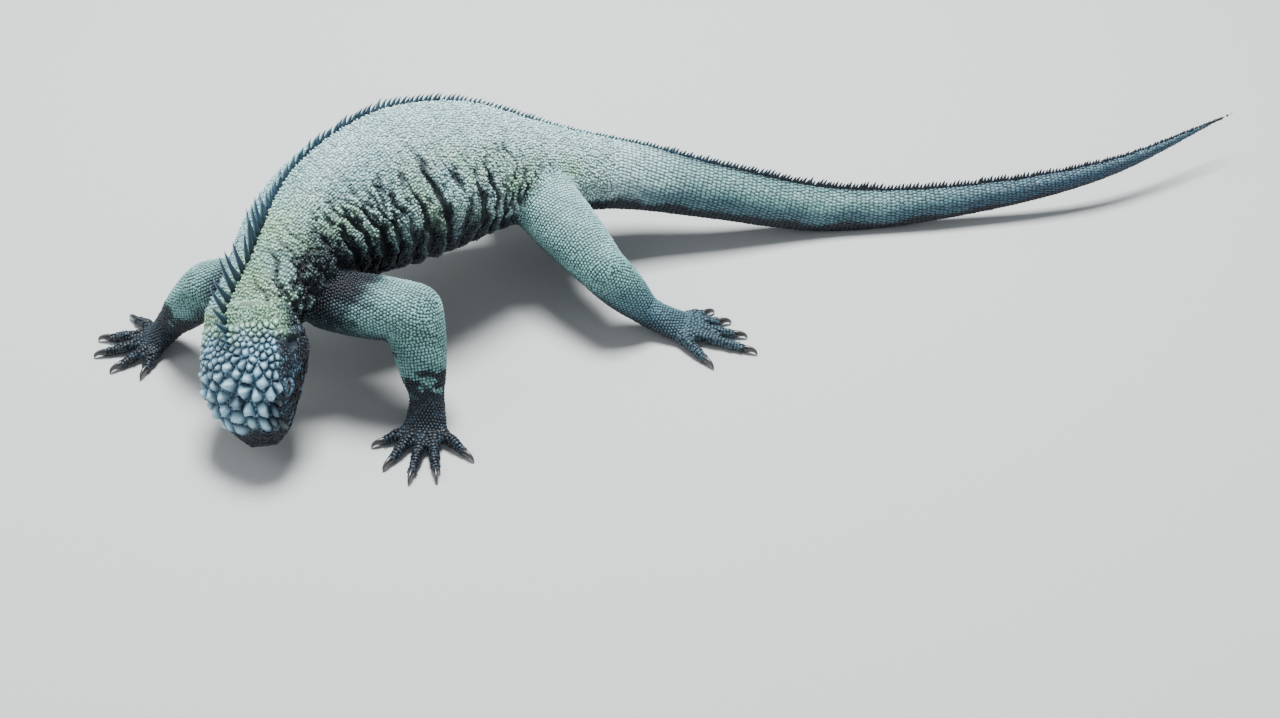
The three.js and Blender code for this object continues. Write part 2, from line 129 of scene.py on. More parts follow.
def smooth_through(pairs: list[Pair]) -> Callable[[np.ndarray], np.ndarray]:
    """A smooth function through pairs of a place and a value, level beyond both ends.

    Args:
        pairs: The places, in rising order, with their values.

    Returns:
        The function.
    """
    xs = np.array([p[0] for p in pairs], float)
    ys = np.array([p[1] for p in pairs], float)
    before = np.maximum(np.arange(len(xs)) - 1, 0)
    after = np.minimum(np.arange(len(xs)) + 1, len(xs) - 1)
    slopes = (ys[after] - ys[before]) / (xs[after] - xs[before])

    def value(x: np.ndarray) -> np.ndarray:
        """The function's value at each x."""
        x = np.clip(np.asarray(x, float), xs[0], xs[-1])
        i = np.clip(np.searchsorted(xs, x, side="right") - 1, 0, len(xs) - 2)
        width = xs[i + 1] - xs[i]
        t = (x - xs[i]) / width
        ease = t * t * (3 - 2 * t)
        leave = t * (1 - t) ** 2 * width * slopes[i]
        arrive = t * t * (t - 1) * width * slopes[i + 1]
        return ys[i] + (ys[i + 1] - ys[i]) * ease + leave + arrive

    return value


class Curve:
    """A curve through points, read by its share of length."""

    def __init__(self, points: np.ndarray) -> None:
        """Measures a finely sampled curve."""
        lengths = np.linalg.norm(np.diff(points, axis=0), axis=1)
        self.travel = np.concatenate([[0], np.cumsum(lengths)])
        self.points = points
        self.length = float(self.travel[-1])
        self.tangents = unit(np.gradient(points, axis=0))

    def at(self, share: np.ndarray) -> np.ndarray:
        """The place at each share of the length."""
        return self._read(self.points, share)

    def tangent(self, share: np.ndarray) -> np.ndarray:
        """The direction at each share of the length."""
        return unit(self._read(self.tangents, share))

    def _read(self, values: np.ndarray, share: np.ndarray) -> np.ndarray:
        """Rows of values between the samples on both sides of each share."""
        far = np.clip(np.asarray(share, float), 0, 1) * self.length
        return np.stack([np.interp(far, self.travel, values[:, k]) for k in range(3)], -1)


def centripetal(points: list[Spot], samples: int = 2000) -> tuple[Curve, np.ndarray]:
    """A centripetal curve through points.

    Args:
        points: The points, in order.
        samples: How many steps it is sampled in from one point to the next.

    Returns:
        The curve, and the share of its length at each point.
    """
    p = np.array(points, float)
    p = np.vstack([2 * p[0] - p[1], p, 2 * p[-1] - p[-2]])
    gaps = np.linalg.norm(np.diff(p, axis=0), axis=1) ** 0.5
    last = len(points) - 1
    t = np.linspace(0, last, samples * last + 1)
    i = np.minimum(t.astype(int), last - 1)
    w = (t - i)[:, None]
    d0, d1, d2 = (gaps[i + k][:, None] for k in range(3))
    p0, p1, p2, p3 = (p[i + k] for k in range(4))
    m1 = ((p1 - p0) / d0 - (p2 - p0) / (d0 + d1) + (p2 - p1) / d1) * d1
    m2 = ((p2 - p1) / d1 - (p3 - p1) / (d1 + d2) + (p3 - p2) / d2) * d1
    made = p1 + m1 * w + (3 * (p2 - p1) - 2 * m1 - m2) * w**2 + (2 * (p1 - p2) + m1 + m2) * w**3
    curve = Curve(made)
    return curve, curve.travel[::samples] / curve.length


def bezier(*points: np.ndarray) -> Curve:
    """A cubic curve from its four points."""
    t = np.linspace(0, 1, 80)[:, None]
    a, b, c, d = points
    return Curve(a * (1 - t) ** 3 + 3 * b * t * (1 - t) ** 2 + 3 * c * t**2 * (1 - t) + d * t**3)


class Region(Enum):
    """The surfaces that the skin is laid out on."""

    TRUNK = 0
    LIMB = 1
    FOOT = 2
    DIGIT = 3
    HEAD = 4


@dataclass
class Surface:
    """A tube-like surface of the body, read by share of length and angle."""

    name: str
    region: Region
    patch: Patch
    around: int = 24
    rings: int = 16
    first_share: float = 0.0

    def place(self, share: np.ndarray, angle: np.ndarray) -> np.ndarray:
        """Points of the surface, in millimetres."""
        raise NotImplementedError

    def chart(self, share: np.ndarray, angle: np.ndarray) -> np.ndarray:
        """The surface's own place on the unwrapped skin."""
        left, low, wide, tall = self.patch
        turn = np.mod(np.asarray(angle) / (2 * math.pi) + 0.5, 1.0)
        return np.stack([left + wide * np.clip(share, 0, 1), low + tall * turn], -1)


@dataclass(frozen=True)
class Station:
    """One place along the trunk's axis and the body's sizes there, in millimetres.

    The roof says how pointed the back is, from 1 for a round one, and the lean is in degrees.
    """

    at: Spot
    half: float
    high: float
    low: float
    roof: float
    lean: float
    spine: float


@dataclass
class Trunk(Surface):
    """Neck, body and tail as one tapering tube along a curved axis."""

    stations: tuple[Station, ...] = (
        Station((-289, -80, 66), 36, 27, 28, 1.0, 12, 14),
        Station((-287, -60, 85), 35, 26, 28, 1.0, 14, 30),
        Station((-275, -34, 98), 38, 30, 33, 1.1, 16, 32),
        Station((-252, 20, 106), 54, 48, 47, 1.2, 17, 13),
        Station((-229, 50, 109), 63, 57, 54, 1.25, 16, 12),
        Station((-190, 83, 108), 69, 64, 60, 1.25, 15, 11),
        Station((-140, 115, 99), 60, 57, 53, 1.25, 15, 8),
        Station((-92, 134, 87), 44, 42, 40, 1.2, 14, 7),
        Station((-58, 146, 78), 33, 34, 34, 1.15, 12, 4.5),
        Station((-10, 156, 66), 26, 29, 30, 1.15, 10, 5),
        Station((60, 159, 47), 18, 25, 25, 1.2, 9, 7),
        Station((160, 169, 20.5), 12, 21, 21.5, 1.25, 8, 8),
        Station((265, 178, 21), 8.5, 16, 16, 1.25, 7, 7.5),
        Station((396, 207, 32), 5.5, 10, 10, 1.2, 6, 5),
        Station((529, 281, 42), 1.2, 1.6, 1.6, 1.0, 0, 1.5),
    )
    belly: float = 0.95

    def __post_init__(self) -> None:
        """Lays the axis and the sizes along it."""
        self.axis, shares = centripetal([s.at for s in self.stations])
        self.size = {
            name: smooth_through([(x, getattr(s, name)) for x, s in zip(shares, self.stations)])
            for name in ("half", "high", "low", "roof", "lean", "spine")
        }

    def frames(self, share: np.ndarray) -> tuple[np.ndarray, np.ndarray, np.ndarray, np.ndarray]:
        """The trunk's own directions.

        Args:
            share: Shares of its length.

        Returns:
            The points of the axis there, and the directions forward, to the back and to the left.
        """
        forward = -self.axis.tangent(share)
        upright = unit(UP - forward * forward[..., 2:3])
        level = np.cross(upright, forward)
        lean = np.radians(self.size["lean"](share))[..., None]
        dorsal = upright * np.cos(lean) - level * np.sin(lean)
        return self.axis.at(share), forward, dorsal, np.cross(dorsal, forward)

    def place(self, share: np.ndarray, angle: np.ndarray) -> np.ndarray:
        """Points of the trunk's skin.

        Args:
            share: Shares of its length.
            angle: Angles, 0 on the back and a quarter turn on the left flank.

        Returns:
            Places in millimetres.
        """
        at, _, dorsal, left = self.frames(share)
        s, c = np.sin(angle), np.cos(angle)
        power = np.where(c > 0, self.size["roof"](share), self.belly)
        sideways = self.size["half"](share) * signed_power(s, power)
        tall = np.where(c > 0, self.size["high"](share), self.size["low"](share))
        upwards = tall * signed_power(c, power)
        return at + left * sideways[..., None] + dorsal * upwards[..., None]

    def read(self, places: np.ndarray, share: np.ndarray) -> tuple[np.ndarray, np.ndarray]:
        """Where places near the skin lie on the trunk.

        Args:
            places: The places, in millimetres.
            share: A first guess of their shares of the length.

        Returns:
            Their shares and their angles.
        """
        for _ in range(3):
            at, forward, dorsal, left = self.frames(share)
            ahead = ((places - at) * -forward).sum(-1)
            share = np.clip(share + ahead / self.axis.length, 0, 1)
        away = places - at
        x = (away * left).sum(-1) / self.size["half"](share)
        z = (away * dorsal).sum(-1)
        z = z / np.where(z > 0, self.size["high"](share), self.size["low"](share))
        power = np.where(z > 0, self.size["roof"](share), self.belly)
        return share, np.arctan2(signed_power(x, 1 / power), signed_power(z, 1 / power))


@dataclass
class Limb(Surface):
    """A tapering round limb from one joint to the next, with round ends."""

    start: Spot = (0, 0, 0)
    stop: Spot = (0, 0, 1)
    first: float = 10
    last: float = 8
    bulge: float = 2

    def place(self, share: np.ndarray, angle: np.ndarray) -> np.ndarray:
        """Points of the limb's skin.

        Args:
            share: Shares of its length with its round ends.
            angle: Angles round it.

        Returns:
            Places in millimetres.
        """
        start, stop = np.array(self.start, float), np.array(self.stop, float)
        long = float(np.linalg.norm(stop - start))
        turn = Vector((0, 0, 1)).rotation_difference(Vector(stop - start)).to_matrix()
        along = -self.first + (long + self.first + self.last) * np.asarray(share, float)
        mid = np.clip(along / long, 0, 1)
        radius = self.first + (self.last - self.first) * mid + self.bulge * np.sin(math.pi * mid)
        near = np.sqrt(np.maximum(self.first**2 - along**2, 0.04))
        far = np.sqrt(np.maximum(self.last**2 - (along - long) ** 2, 0.04))
        radius = np.where(along < 0, near, np.where(along > long, far, radius))
        across = (radius * np.sin(angle), radius * np.cos(angle))
        local = np.stack([*across, along * np.ones_like(radius)], -1)
        return local @ np.array(turn).T + start


@dataclass
class Stalk(Surface):
    """A tube along a curve that keeps one direction across: a palm, a digit, a claw or a lid."""

    curve: Curve | None = None
    across: np.ndarray | None = None
    sizes: Callable[[np.ndarray], tuple[np.ndarray, np.ndarray]] | None = None

    def place(self, share: np.ndarray, angle: np.ndarray) -> np.ndarray:
        """Points of the stalk's skin."""
        over = unit(np.cross(self.curve.tangent(share), self.across))
        wide, tall = self.sizes(np.asarray(share, float))
        sideways = (wide * np.sin(angle))[..., None] * self.across
        return self.curve.at(share) + sideways + over * (tall * np.cos(angle))[..., None]


@dataclass(frozen=True)
class Swell:
    """A raised band along both sides of the head: its height, its angle round the head and its spread."""

    tall: float
    angle: float
    spread: float

    def at(self, angle: np.ndarray) -> np.ndarray:
        """The band's height at each angle."""
        return self.tall * bell(np.abs(angle), self.angle, self.spread)


@dataclass
class Skull(Surface):
    """The head, in directions of its own: x to the animal's right, y to the snout, z out of the crown.

    The ear drum's place is y and z; the profiles pair a distance from the head's rear with a size there.
    """

    rear: Spot = (-284, -63, 84)
    snout: Spot = (-275, -117, 23)
    crown: Spot = (-0.5, -0.5, 0.7)
    length: float = 85
    reach: float = 20
    easing: float = 1.1
    eye: Spot = (30.5, 42, 8)
    eye_radius: float = 7
    nostril: Spot = (12, 80, 5)
    drum: Pair = (12, 2)
    lips: Swell = Swell(1.3, 1.95, 0.22)
    lips_start: Pair = (18, 34)
    brow: Swell = Swell(2.2, 1.0, 0.3)
    jowl: Swell = Swell(4.5, 2.0, 0.55)
    wide: tuple[Pair, ...] = (
        *((-20, 35), (0, 38), (14, 40), (29, 39), (47, 33.5)),
        *((63, 27), (74, 21), (82, 14), (85, 10)),
    )
    high: tuple[Pair, ...] = (
        *((-20, 25), (0, 26), (16, 28), (34, 29)),
        *((52, 26.5), (65, 21), (76, 14), (85, 6)),
    )
    low: tuple[Pair, ...] = (
        *((-20, 27), (0, 28), (16, 28), (34, 25)),
        *((52, 20), (67, 17), (78, 14.5), (85, 8)),
    )
    square: tuple[Pair, ...] = ((-10, 1), (34, 0.82), (67, 0.8), (85, 0.9))

    def __post_init__(self) -> None:
        """Sets the head's own directions."""
        forward = unit(np.array(self.snout, float) - np.array(self.rear, float))
        crown = np.array(self.crown, float)
        crown = unit(crown - forward * crown.dot(forward))
        self.turn = np.stack([np.cross(forward, crown), forward, crown], -1)
        self.profile = {k: smooth_through(list(getattr(self, k))) for k in ("wide", "high", "low", "square")}

    def world(self, local: np.ndarray) -> np.ndarray:
        """Places of the head in the body's frame."""
        return local @ self.turn.T + np.array(self.rear, float)

    def local(self, places: np.ndarray) -> np.ndarray:
        """Places of the body's frame in the head's own."""
        return (places - np.array(self.rear, float)) @ self.turn

    def at(self, y: np.ndarray, angle: np.ndarray) -> np.ndarray:
        """Points of the head's skin in its own directions.

        Args:
            y: Distances from the head's rear.
            angle: Angles, 0 on the crown and a quarter turn on the animal's right.

        Returns:
            Places in millimetres.
        """
        s, c = np.sin(angle), np.cos(angle)
        power = self.profile["square"](y)
        lips = self.lips.at(angle) * step(y, *self.lips_start)
        brow = self.brow.at(angle) * bell(y, self.eye[1], 10)
        jowl = self.jowl.at(angle) * bell(y, 12, 17)
        out = lips + brow + jowl
        tall = np.where(c > 0, self.profile["high"](y), self.profile["low"](y))
        x = (self.profile["wide"](y) + out) * signed_power(s, power)
        return np.stack([x, y * np.ones_like(x), (tall + out) * signed_power(c, power)], -1)

    def distance(self, share: np.ndarray) -> np.ndarray:
        """The distance from the head's rear at each share of its surface."""
        eased = np.sin(np.asarray(share) * math.pi / 2) ** self.easing
        return -self.reach + (self.length + self.reach) * eased

    def share(self, y: np.ndarray) -> np.ndarray:
        """The share of the surface at a distance from the head's rear."""
        part = np.clip((np.asarray(y, float) + self.reach) / (self.length + self.reach), 0, 1)
        return np.arcsin(part ** (1 / self.easing)) * 2 / math.pi

    def mouth(self, y: np.ndarray) -> np.ndarray:
        """The height of the line of the mouth."""
        return -9 + 2.5 * step(y, 36, 80) - 3 * (1 - step(y, 20, 36))

    def angle_at(self, y: np.ndarray, z: np.ndarray) -> np.ndarray:
        """The angle, on the positive side, where the head's skin stands at a height."""
        tall = np.where(z > 0, self.profile["high"](y), self.profile["low"](y))
        c = signed_power(np.clip(z / tall, -1, 1), 1 / self.profile["square"](y))
        return np.arccos(np.clip(c, -1, 1))

    def place(self, share: np.ndarray, angle: np.ndarray) -> np.ndarray:
        """Points of the head's skin."""
        return self.world(self.at(self.distance(share), angle))


@dataclass(frozen=True)
class Leg:
    """One leg: its joints with their radii, its knuckles, and which way its inner side lies."""

    names: tuple[str, str, str]
    joints: tuple[tuple[float, float, float, float], ...]
    knuckles: Spot
    inner: int
    foot: str


LEGS = (
    Leg(
        ("upper_arm_left", "forearm_left", "hand_left"),
        ((-232, -26, 82, 22), (-167, -42, 84, 22), (-159, -70, 27, 13)),
        (-161, -92, 6.5),
        -1,
        "hand",
    ),
    Leg(
        ("upper_arm_right", "forearm_right", "hand_right"),
        ((-292, -8, 80, 22), (-326, -4, 78, 19), (-366, 18, 25, 12.5)),
        (-385, 14, 6.5),
        1,
        "hand",
    ),
    Leg(
        ("thigh_left", "shank_left", "foot_left"),
        ((-84, 112, 80, 27), (-29, 40, 58, 19), (4, 36, 20, 12)),
        (36, 30, 6.5),
        1,
        "foot",
    ),
    Leg(
        ("thigh_right", "shank_right", "foot_right"),
        ((-98, 156, 76, 27), (-128, 222, 52, 19), (-92, 236, 20, 12)),
        (-62, 246, 6.5),
        -1,
        "foot",
    ),
)
# Each digit's turn from the foot's heading in degrees, and its length in millimetres.
DIGITS = {
    "hand": ((62, 21), (27, 33), (4, 41), (-13, 39), (-52, 27)),
    "foot": ((40, 20), (20, 31), (4, 44), (-8, 55), (-40, 33)),
}


@dataclass(frozen=True)
class Finish:
    """A surface finish that follows the colours painted on a piece.

    The grain is counted in waves to the metre, and the tint is how far it lightens and darkens the colour.
    """

    name: str
    roughness: float
    grain: float
    bump: float
    tint: float = 0.18
    coat: float = 0.0

    def material(self) -> bpy.types.Material:
        """The finish as a material: the piece's own colours, mottled and grained.

        Returns:
            The material.
        """
        made = bpy.data.materials.new(self.name)
        made.use_nodes = True
        nodes, links = made.node_tree.nodes, made.node_tree.links
        shader = nodes["Principled BSDF"]
        shader.inputs["Coat Weight"].default_value = self.coat
        shader.inputs["Coat Roughness"].default_value = 0.25
        colour = nodes.new("ShaderNodeVertexColor")
        colour.layer_name = "Tone"
        where = nodes.new("ShaderNodeTexCoord")
        grain = nodes.new("ShaderNodeTexNoise")
        grain.inputs["Scale"].default_value = self.grain
        grain.inputs["Detail"].default_value = 4
        links.new(where.outputs["Object"], grain.inputs["Vector"])
        spread = nodes.new("ShaderNodeMapRange")
        spread.inputs["To Min"].default_value = 1 - self.tint
        spread.inputs["To Max"].default_value = 1 + self.tint
        links.new(grain.outputs["Fac"], spread.inputs["Value"])
        mix = nodes.new("ShaderNodeVectorMath")
        mix.operation = "SCALE"
        links.new(colour.outputs["Color"], mix.inputs[0])
        links.new(spread.outputs["Result"], mix.inputs["Scale"])
        links.new(mix.outputs["Vector"], shader.inputs["Base Color"])
        dull = nodes.new("ShaderNodeMapRange")
        dull.inputs["To Min"].default_value = self.roughness - 0.1
        dull.inputs["To Max"].default_value = self.roughness + 0.12
        links.new(grain.outputs["Fac"], dull.inputs["Value"])
        links.new(dull.outputs["Result"], shader.inputs["Roughness"])
        bump = nodes.new("ShaderNodeBump")
        bump.inputs["Strength"].default_value = self.bump
        bump.inputs["Distance"].default_value = 0.0004
        links.new(grain.outputs["Fac"], bump.inputs["Height"])
        links.new(bump.outputs["Normal"], shader.inputs["Normal"])
        return made


@dataclass
class Bench:
    """Makes meshes and hands them over to the frame."""

    offset: np.ndarray
    finishes: dict[str, bpy.types.Material] = field(default_factory=dict)

    def row(self, points: np.ndarray) -> np.ndarray:
        """Design places in millimetres as places of the frame in metres."""
        return points * MM + self.offset

    def design(self, points: np.ndarray) -> np.ndarray:
        """Places of the frame in metres as design places in millimetres."""
        return (points - self.offset) / MM

    def deselect(self) -> None:
        """Leaves object mode with nothing selected."""
        if bpy.context.object and bpy.context.object.mode != "OBJECT":
            bpy.ops.object.mode_set(mode="OBJECT")
        bpy.ops.object.select_all(action="DESELECT")

    def rolled(self, surface: Surface) -> bpy.types.Object:
        """Rolls up a grid into a closed tube that follows a surface.

        Args:
            surface: The surface.

        Returns:
            The tube.
        """
        self.deselect()
        bpy.ops.mesh.primitive_grid_add(x_subdivisions=surface.around, y_subdivisions=surface.rings, size=2)
        piece = bpy.context.object
        piece.name = surface.name
        flat = coordinates(piece)
        share, angle = (flat[:, 1] + 1) / 2, flat[:, 0] * math.pi
        share = surface.first_share + (1 - surface.first_share) * share
        set_coordinates(piece, self.row(surface.place(share, angle)))
        bpy.ops.object.mode_set(mode="EDIT")
        bpy.ops.mesh.select_all(action="SELECT")
        bpy.ops.mesh.remove_doubles(threshold=1e-6)
        bpy.ops.mesh.fill_holes(sides=0)
        bpy.ops.mesh.normals_make_consistent(inside=False)
        bpy.ops.object.mode_set(mode="OBJECT")
        return piece

    def joined(self, pieces: list[bpy.types.Object], name: str) -> bpy.types.Object:
        """Joins several pieces.

        Args:
            pieces: The pieces.
            name: The name of the one that is made of them.

        Returns:
            The joined piece.
        """
        self.deselect()
        for piece in pieces:
            piece.select_set(True)
        bpy.context.view_layer.objects.active = pieces[0]
        bpy.ops.object.join()
        pieces[0].name = name
        return pieces[0]

    def tone(self, piece: bpy.types.Object, colours: np.ndarray) -> None:
        """Paints a piece's vertices.

        Args:
            piece: The piece.
            colours: A colour for each vertex.
        """
        layer = piece.data.color_attributes.new("Tone", "FLOAT_COLOR", "POINT")
        rgba = np.ones((len(piece.data.vertices), 4), np.float32)
        rgba[:, :3] = colours
        layer.data.foreach_set("color", rgba.ravel())
        piece.data.color_attributes.active_color = layer

    def hand_over(self, piece: bpy.types.Object, finish: str, slot: str, *nodes: str) -> None:
        """Dresses a finished piece, sets it on the body and hides the nodes it stands for.

        Args:
            piece: The piece.
            finish: The name of its finish.
            slot: Not used.
            nodes: The nodes that it replaces.
        """
        piece.data.materials.clear()
        piece.data.materials.append(self.finishes[finish])
        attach(piece, "root")
        if nodes:
            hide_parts(*nodes)
        LOG.info("%s: %d faces", piece.name, len(piece.data.polygons))


def coordinates(piece: bpy.types.Object) -> np.ndarray:
    """The places of a piece's vertices."""
    flat = np.empty(len(piece.data.vertices) * 3, np.float32)
    piece.data.vertices.foreach_get("co", flat)
    return flat.reshape(-1, 3).astype(float)


def set_coordinates(piece: bpy.types.Object, places: np.ndarray) -> None:
    """Moves a piece's vertices."""
    piece.data.vertices.foreach_set("co", places.astype(np.float32).ravel())
    piece.data.update()


def shade_smooth(piece: bpy.types.Object) -> None:
    """Rounds a piece's shading."""
    piece.data.polygons.foreach_set("use_smooth", np.ones(len(piece.data.polygons), bool))


TRUNK_PATCH = (0.02, 0.02, 0.96, 0.4)
HEAD_PATCH = (0.02, 0.45, 0.2, 0.2)


@dataclass
class Body:
    """The surfaces of the whole animal, each with its patch of the unwrapped skin."""

    trunk: Trunk = field(default_factory=lambda: Trunk("trunk", Region.TRUNK, TRUNK_PATCH, 64, 220, 0.03))
    skull: Skull = field(default_factory=lambda: Skull("skull", Region.HEAD, HEAD_PATCH, 64, 44))
    limbs: list[Limb] = field(default_factory=list)
    feet: list[Stalk] = field(default_factory=list)
    digits: list[Stalk] = field(default_factory=list)
    claws: list[tuple[str, Stalk]] = field(default_factory=list)
    lids: list[Stalk] = field(default_factory=list)
    finger_start: float = 5.6
    finger_end: float = 3.9
    palm_height: float = 8
    claw_reach: float = 8.8
    claw_root: float = 3.2
    lid_thickness: float = 2.3

    def __post_init__(self) -> None:
        """Builds each leg's surfaces and the lids."""
        for k, leg in enumerate(LEGS):
            self._add_leg(k, leg)
        for side in (1, -1):
            for lower in (False, True):
                self.lids.append(self._lid(side, lower))

    def _add_leg(self, k: int, leg: Leg) -> None:
        """Adds one leg: two limbs, a palm or sole, five digits and their claws.

        Args:
            k: The leg's number.
            leg: Its sizes.
        """
        (*root, r0), (*bend, r1), (*ankle, r2) = leg.joints
        low = 0.45 + 0.12 * k
        for name, left, start, stop, r_start, r_stop in (
            (leg.names[0], 0.25, root, bend, r0, r1),
            (leg.names[1], 0.38, bend, ankle, r1, r2),
        ):
            patch = (left, low, 0.12, 0.1)
            sizes = (tuple(start), tuple(stop), r_start, r_stop)
            self.limbs.append(Limb(name, Region.LIMB, patch, 40, 30, 0.0, *sizes))
        knuckles = np.array(leg.knuckles, float)
        heading = knuckles - np.array(ankle, float)
        heading = unit(heading * [1, 1, 0])
        across = np.cross(UP, heading) * leg.inner
        back = np.array(bend, float) * 0.4 + np.array(ankle, float) * 0.6
        front = knuckles + heading * 4
        front[2] = 6
        line, _ = centripetal([back, ankle, knuckles, front])
        swell = smooth_through([(0, 0), (0.45, 0), (0.9, 1), (1, 0.85)])

        def palm(share: np.ndarray) -> tuple[np.ndarray, np.ndarray]:
            """Half width and half height of the palm."""
            return r2 + 4.5 * swell(share), r2 + (self.palm_height - r2) * swell(share)

        patch = (0.51, low, 0.08, 0.1)
        side = -across * leg.inner
        self.feet.append(Stalk(leg.names[2], Region.FOOT, patch, 32, 26, 0.0, line, side, palm))
        for i, (turn, length) in enumerate(DIGITS[leg.foot]):
            angle = math.radians(turn * leg.inner)
            lie = heading * math.cos(angle) + np.cross(UP, heading) * math.sin(angle)
            root_at = knuckles + across * ((2 - i) / 2) * (r2 - 1) - heading * 3
            root_at[2] = 6
            name = f"{leg.names[2]}_{i + 1}"
            self._add_digit(name, root_at, lie, length, (0.6 + 0.07 * i, low, 0.06, 0.1))

    def _add_digit(self, name: str, root: np.ndarray, lie: np.ndarray, length: float, patch: Patch) -> None:
        """Adds one digit, with knuckles along it, and its claw.

        Args:
            name: The digit's name.
            root: Where it starts.
            lie: Its direction on the ground.
            length: Its length without the claw.
            patch: Its patch of the unwrapped skin.
        """

        def along(start: np.ndarray, reach: float, z: float) -> np.ndarray:
            """A place out along the digit at a height."""
            out = start + lie * reach
            out[2] = z
            return out

        def finger(share: np.ndarray) -> tuple[np.ndarray, np.ndarray]:
            """Half width and half height of the digit, fuller at its joints."""
            knots = 0.45 * np.cos(share * 2 * math.pi * max(2, round(length / 13))) * step(share, 0.1, 0.3)
            thick = self.finger_start + (self.finger_end - self.finger_start) * share
            thick = thick + knots - 0.8 * step(share, 0.93, 1.0)
            return thick * 0.94, thick

        def horn(share: np.ndarray) -> tuple[np.ndarray, np.ndarray]:
            """Half width and half height of the claw."""
            thick = self.claw_root * np.maximum(1 - share, 0) ** 0.7 + 0.3
            return 0.72 * thick, thick

        side = np.cross(UP, lie)
        knuckle, pad = along(root, length * 0.35, 9.5), along(root, length * 0.8, 3.7)
        line = bezier(root, knuckle, pad, along(root, length, 3.7))
        self.digits.append(Stalk(name, Region.DIGIT, patch, 20, 24, 0.0, line, side, finger))
        nail = along(root, length - 1.5, 3.9)
        arch, fall = along(nail, self.claw_reach * 0.45, 4.6), along(nail, self.claw_reach * 0.97, 5.6)
        hook = bezier(nail, arch, fall, along(nail, self.claw_reach + 1.5, 0.5))
        self.claws.append((name, Stalk(f"claw_{name}", Region.DIGIT, patch, 14, 14, 0.0, hook, side, horn)))

    def _lid(self, side: int, lower: bool) -> Stalk:
        """Bends a lid, a thick arc over or under an eye.

        Args:
            side: 1 for the animal's right and -1 for its left.
            lower: Whether it is the lower lid.

        Returns:
            The lid's surface.
        """
        skull = self.skull
        eye = np.array(skull.eye, float) * [side, 1, 1]
        k = np.linspace(-1, 1, 40)
        bow = np.cos(k * math.pi / 2) * (-3.4 if lower else 3.6)
        out = side * (skull.eye_radius - 0.5 - 3.2 * k**2)
        line = np.stack([eye[0] + out, eye[1] + k * (skull.eye_radius + 1.4), eye[2] + bow], -1)

        def thick(share: np.ndarray) -> tuple[np.ndarray, np.ndarray]:
            """Half thickness of the lid, thin at its corners."""
            size = self.lid_thickness * np.sin(math.pi * (0.12 + 0.76 * share))
            return size, size * 0.9

        name = f"lid_{'right' if side > 0 else 'left'}_{'lower' if lower else 'upper'}"
        curve, outward = Curve(skull.world(line)), skull.turn[:, 0] * side
        return Stalk(name, Region.HEAD, skull.patch, 12, 20, 0.0, curve, outward, thick)

    def surfaces(self) -> list[Surface]:
        """All the surfaces of flesh."""
        return [self.trunk, self.skull, *self.limbs, *self.feet, *self.digits, *self.lids]


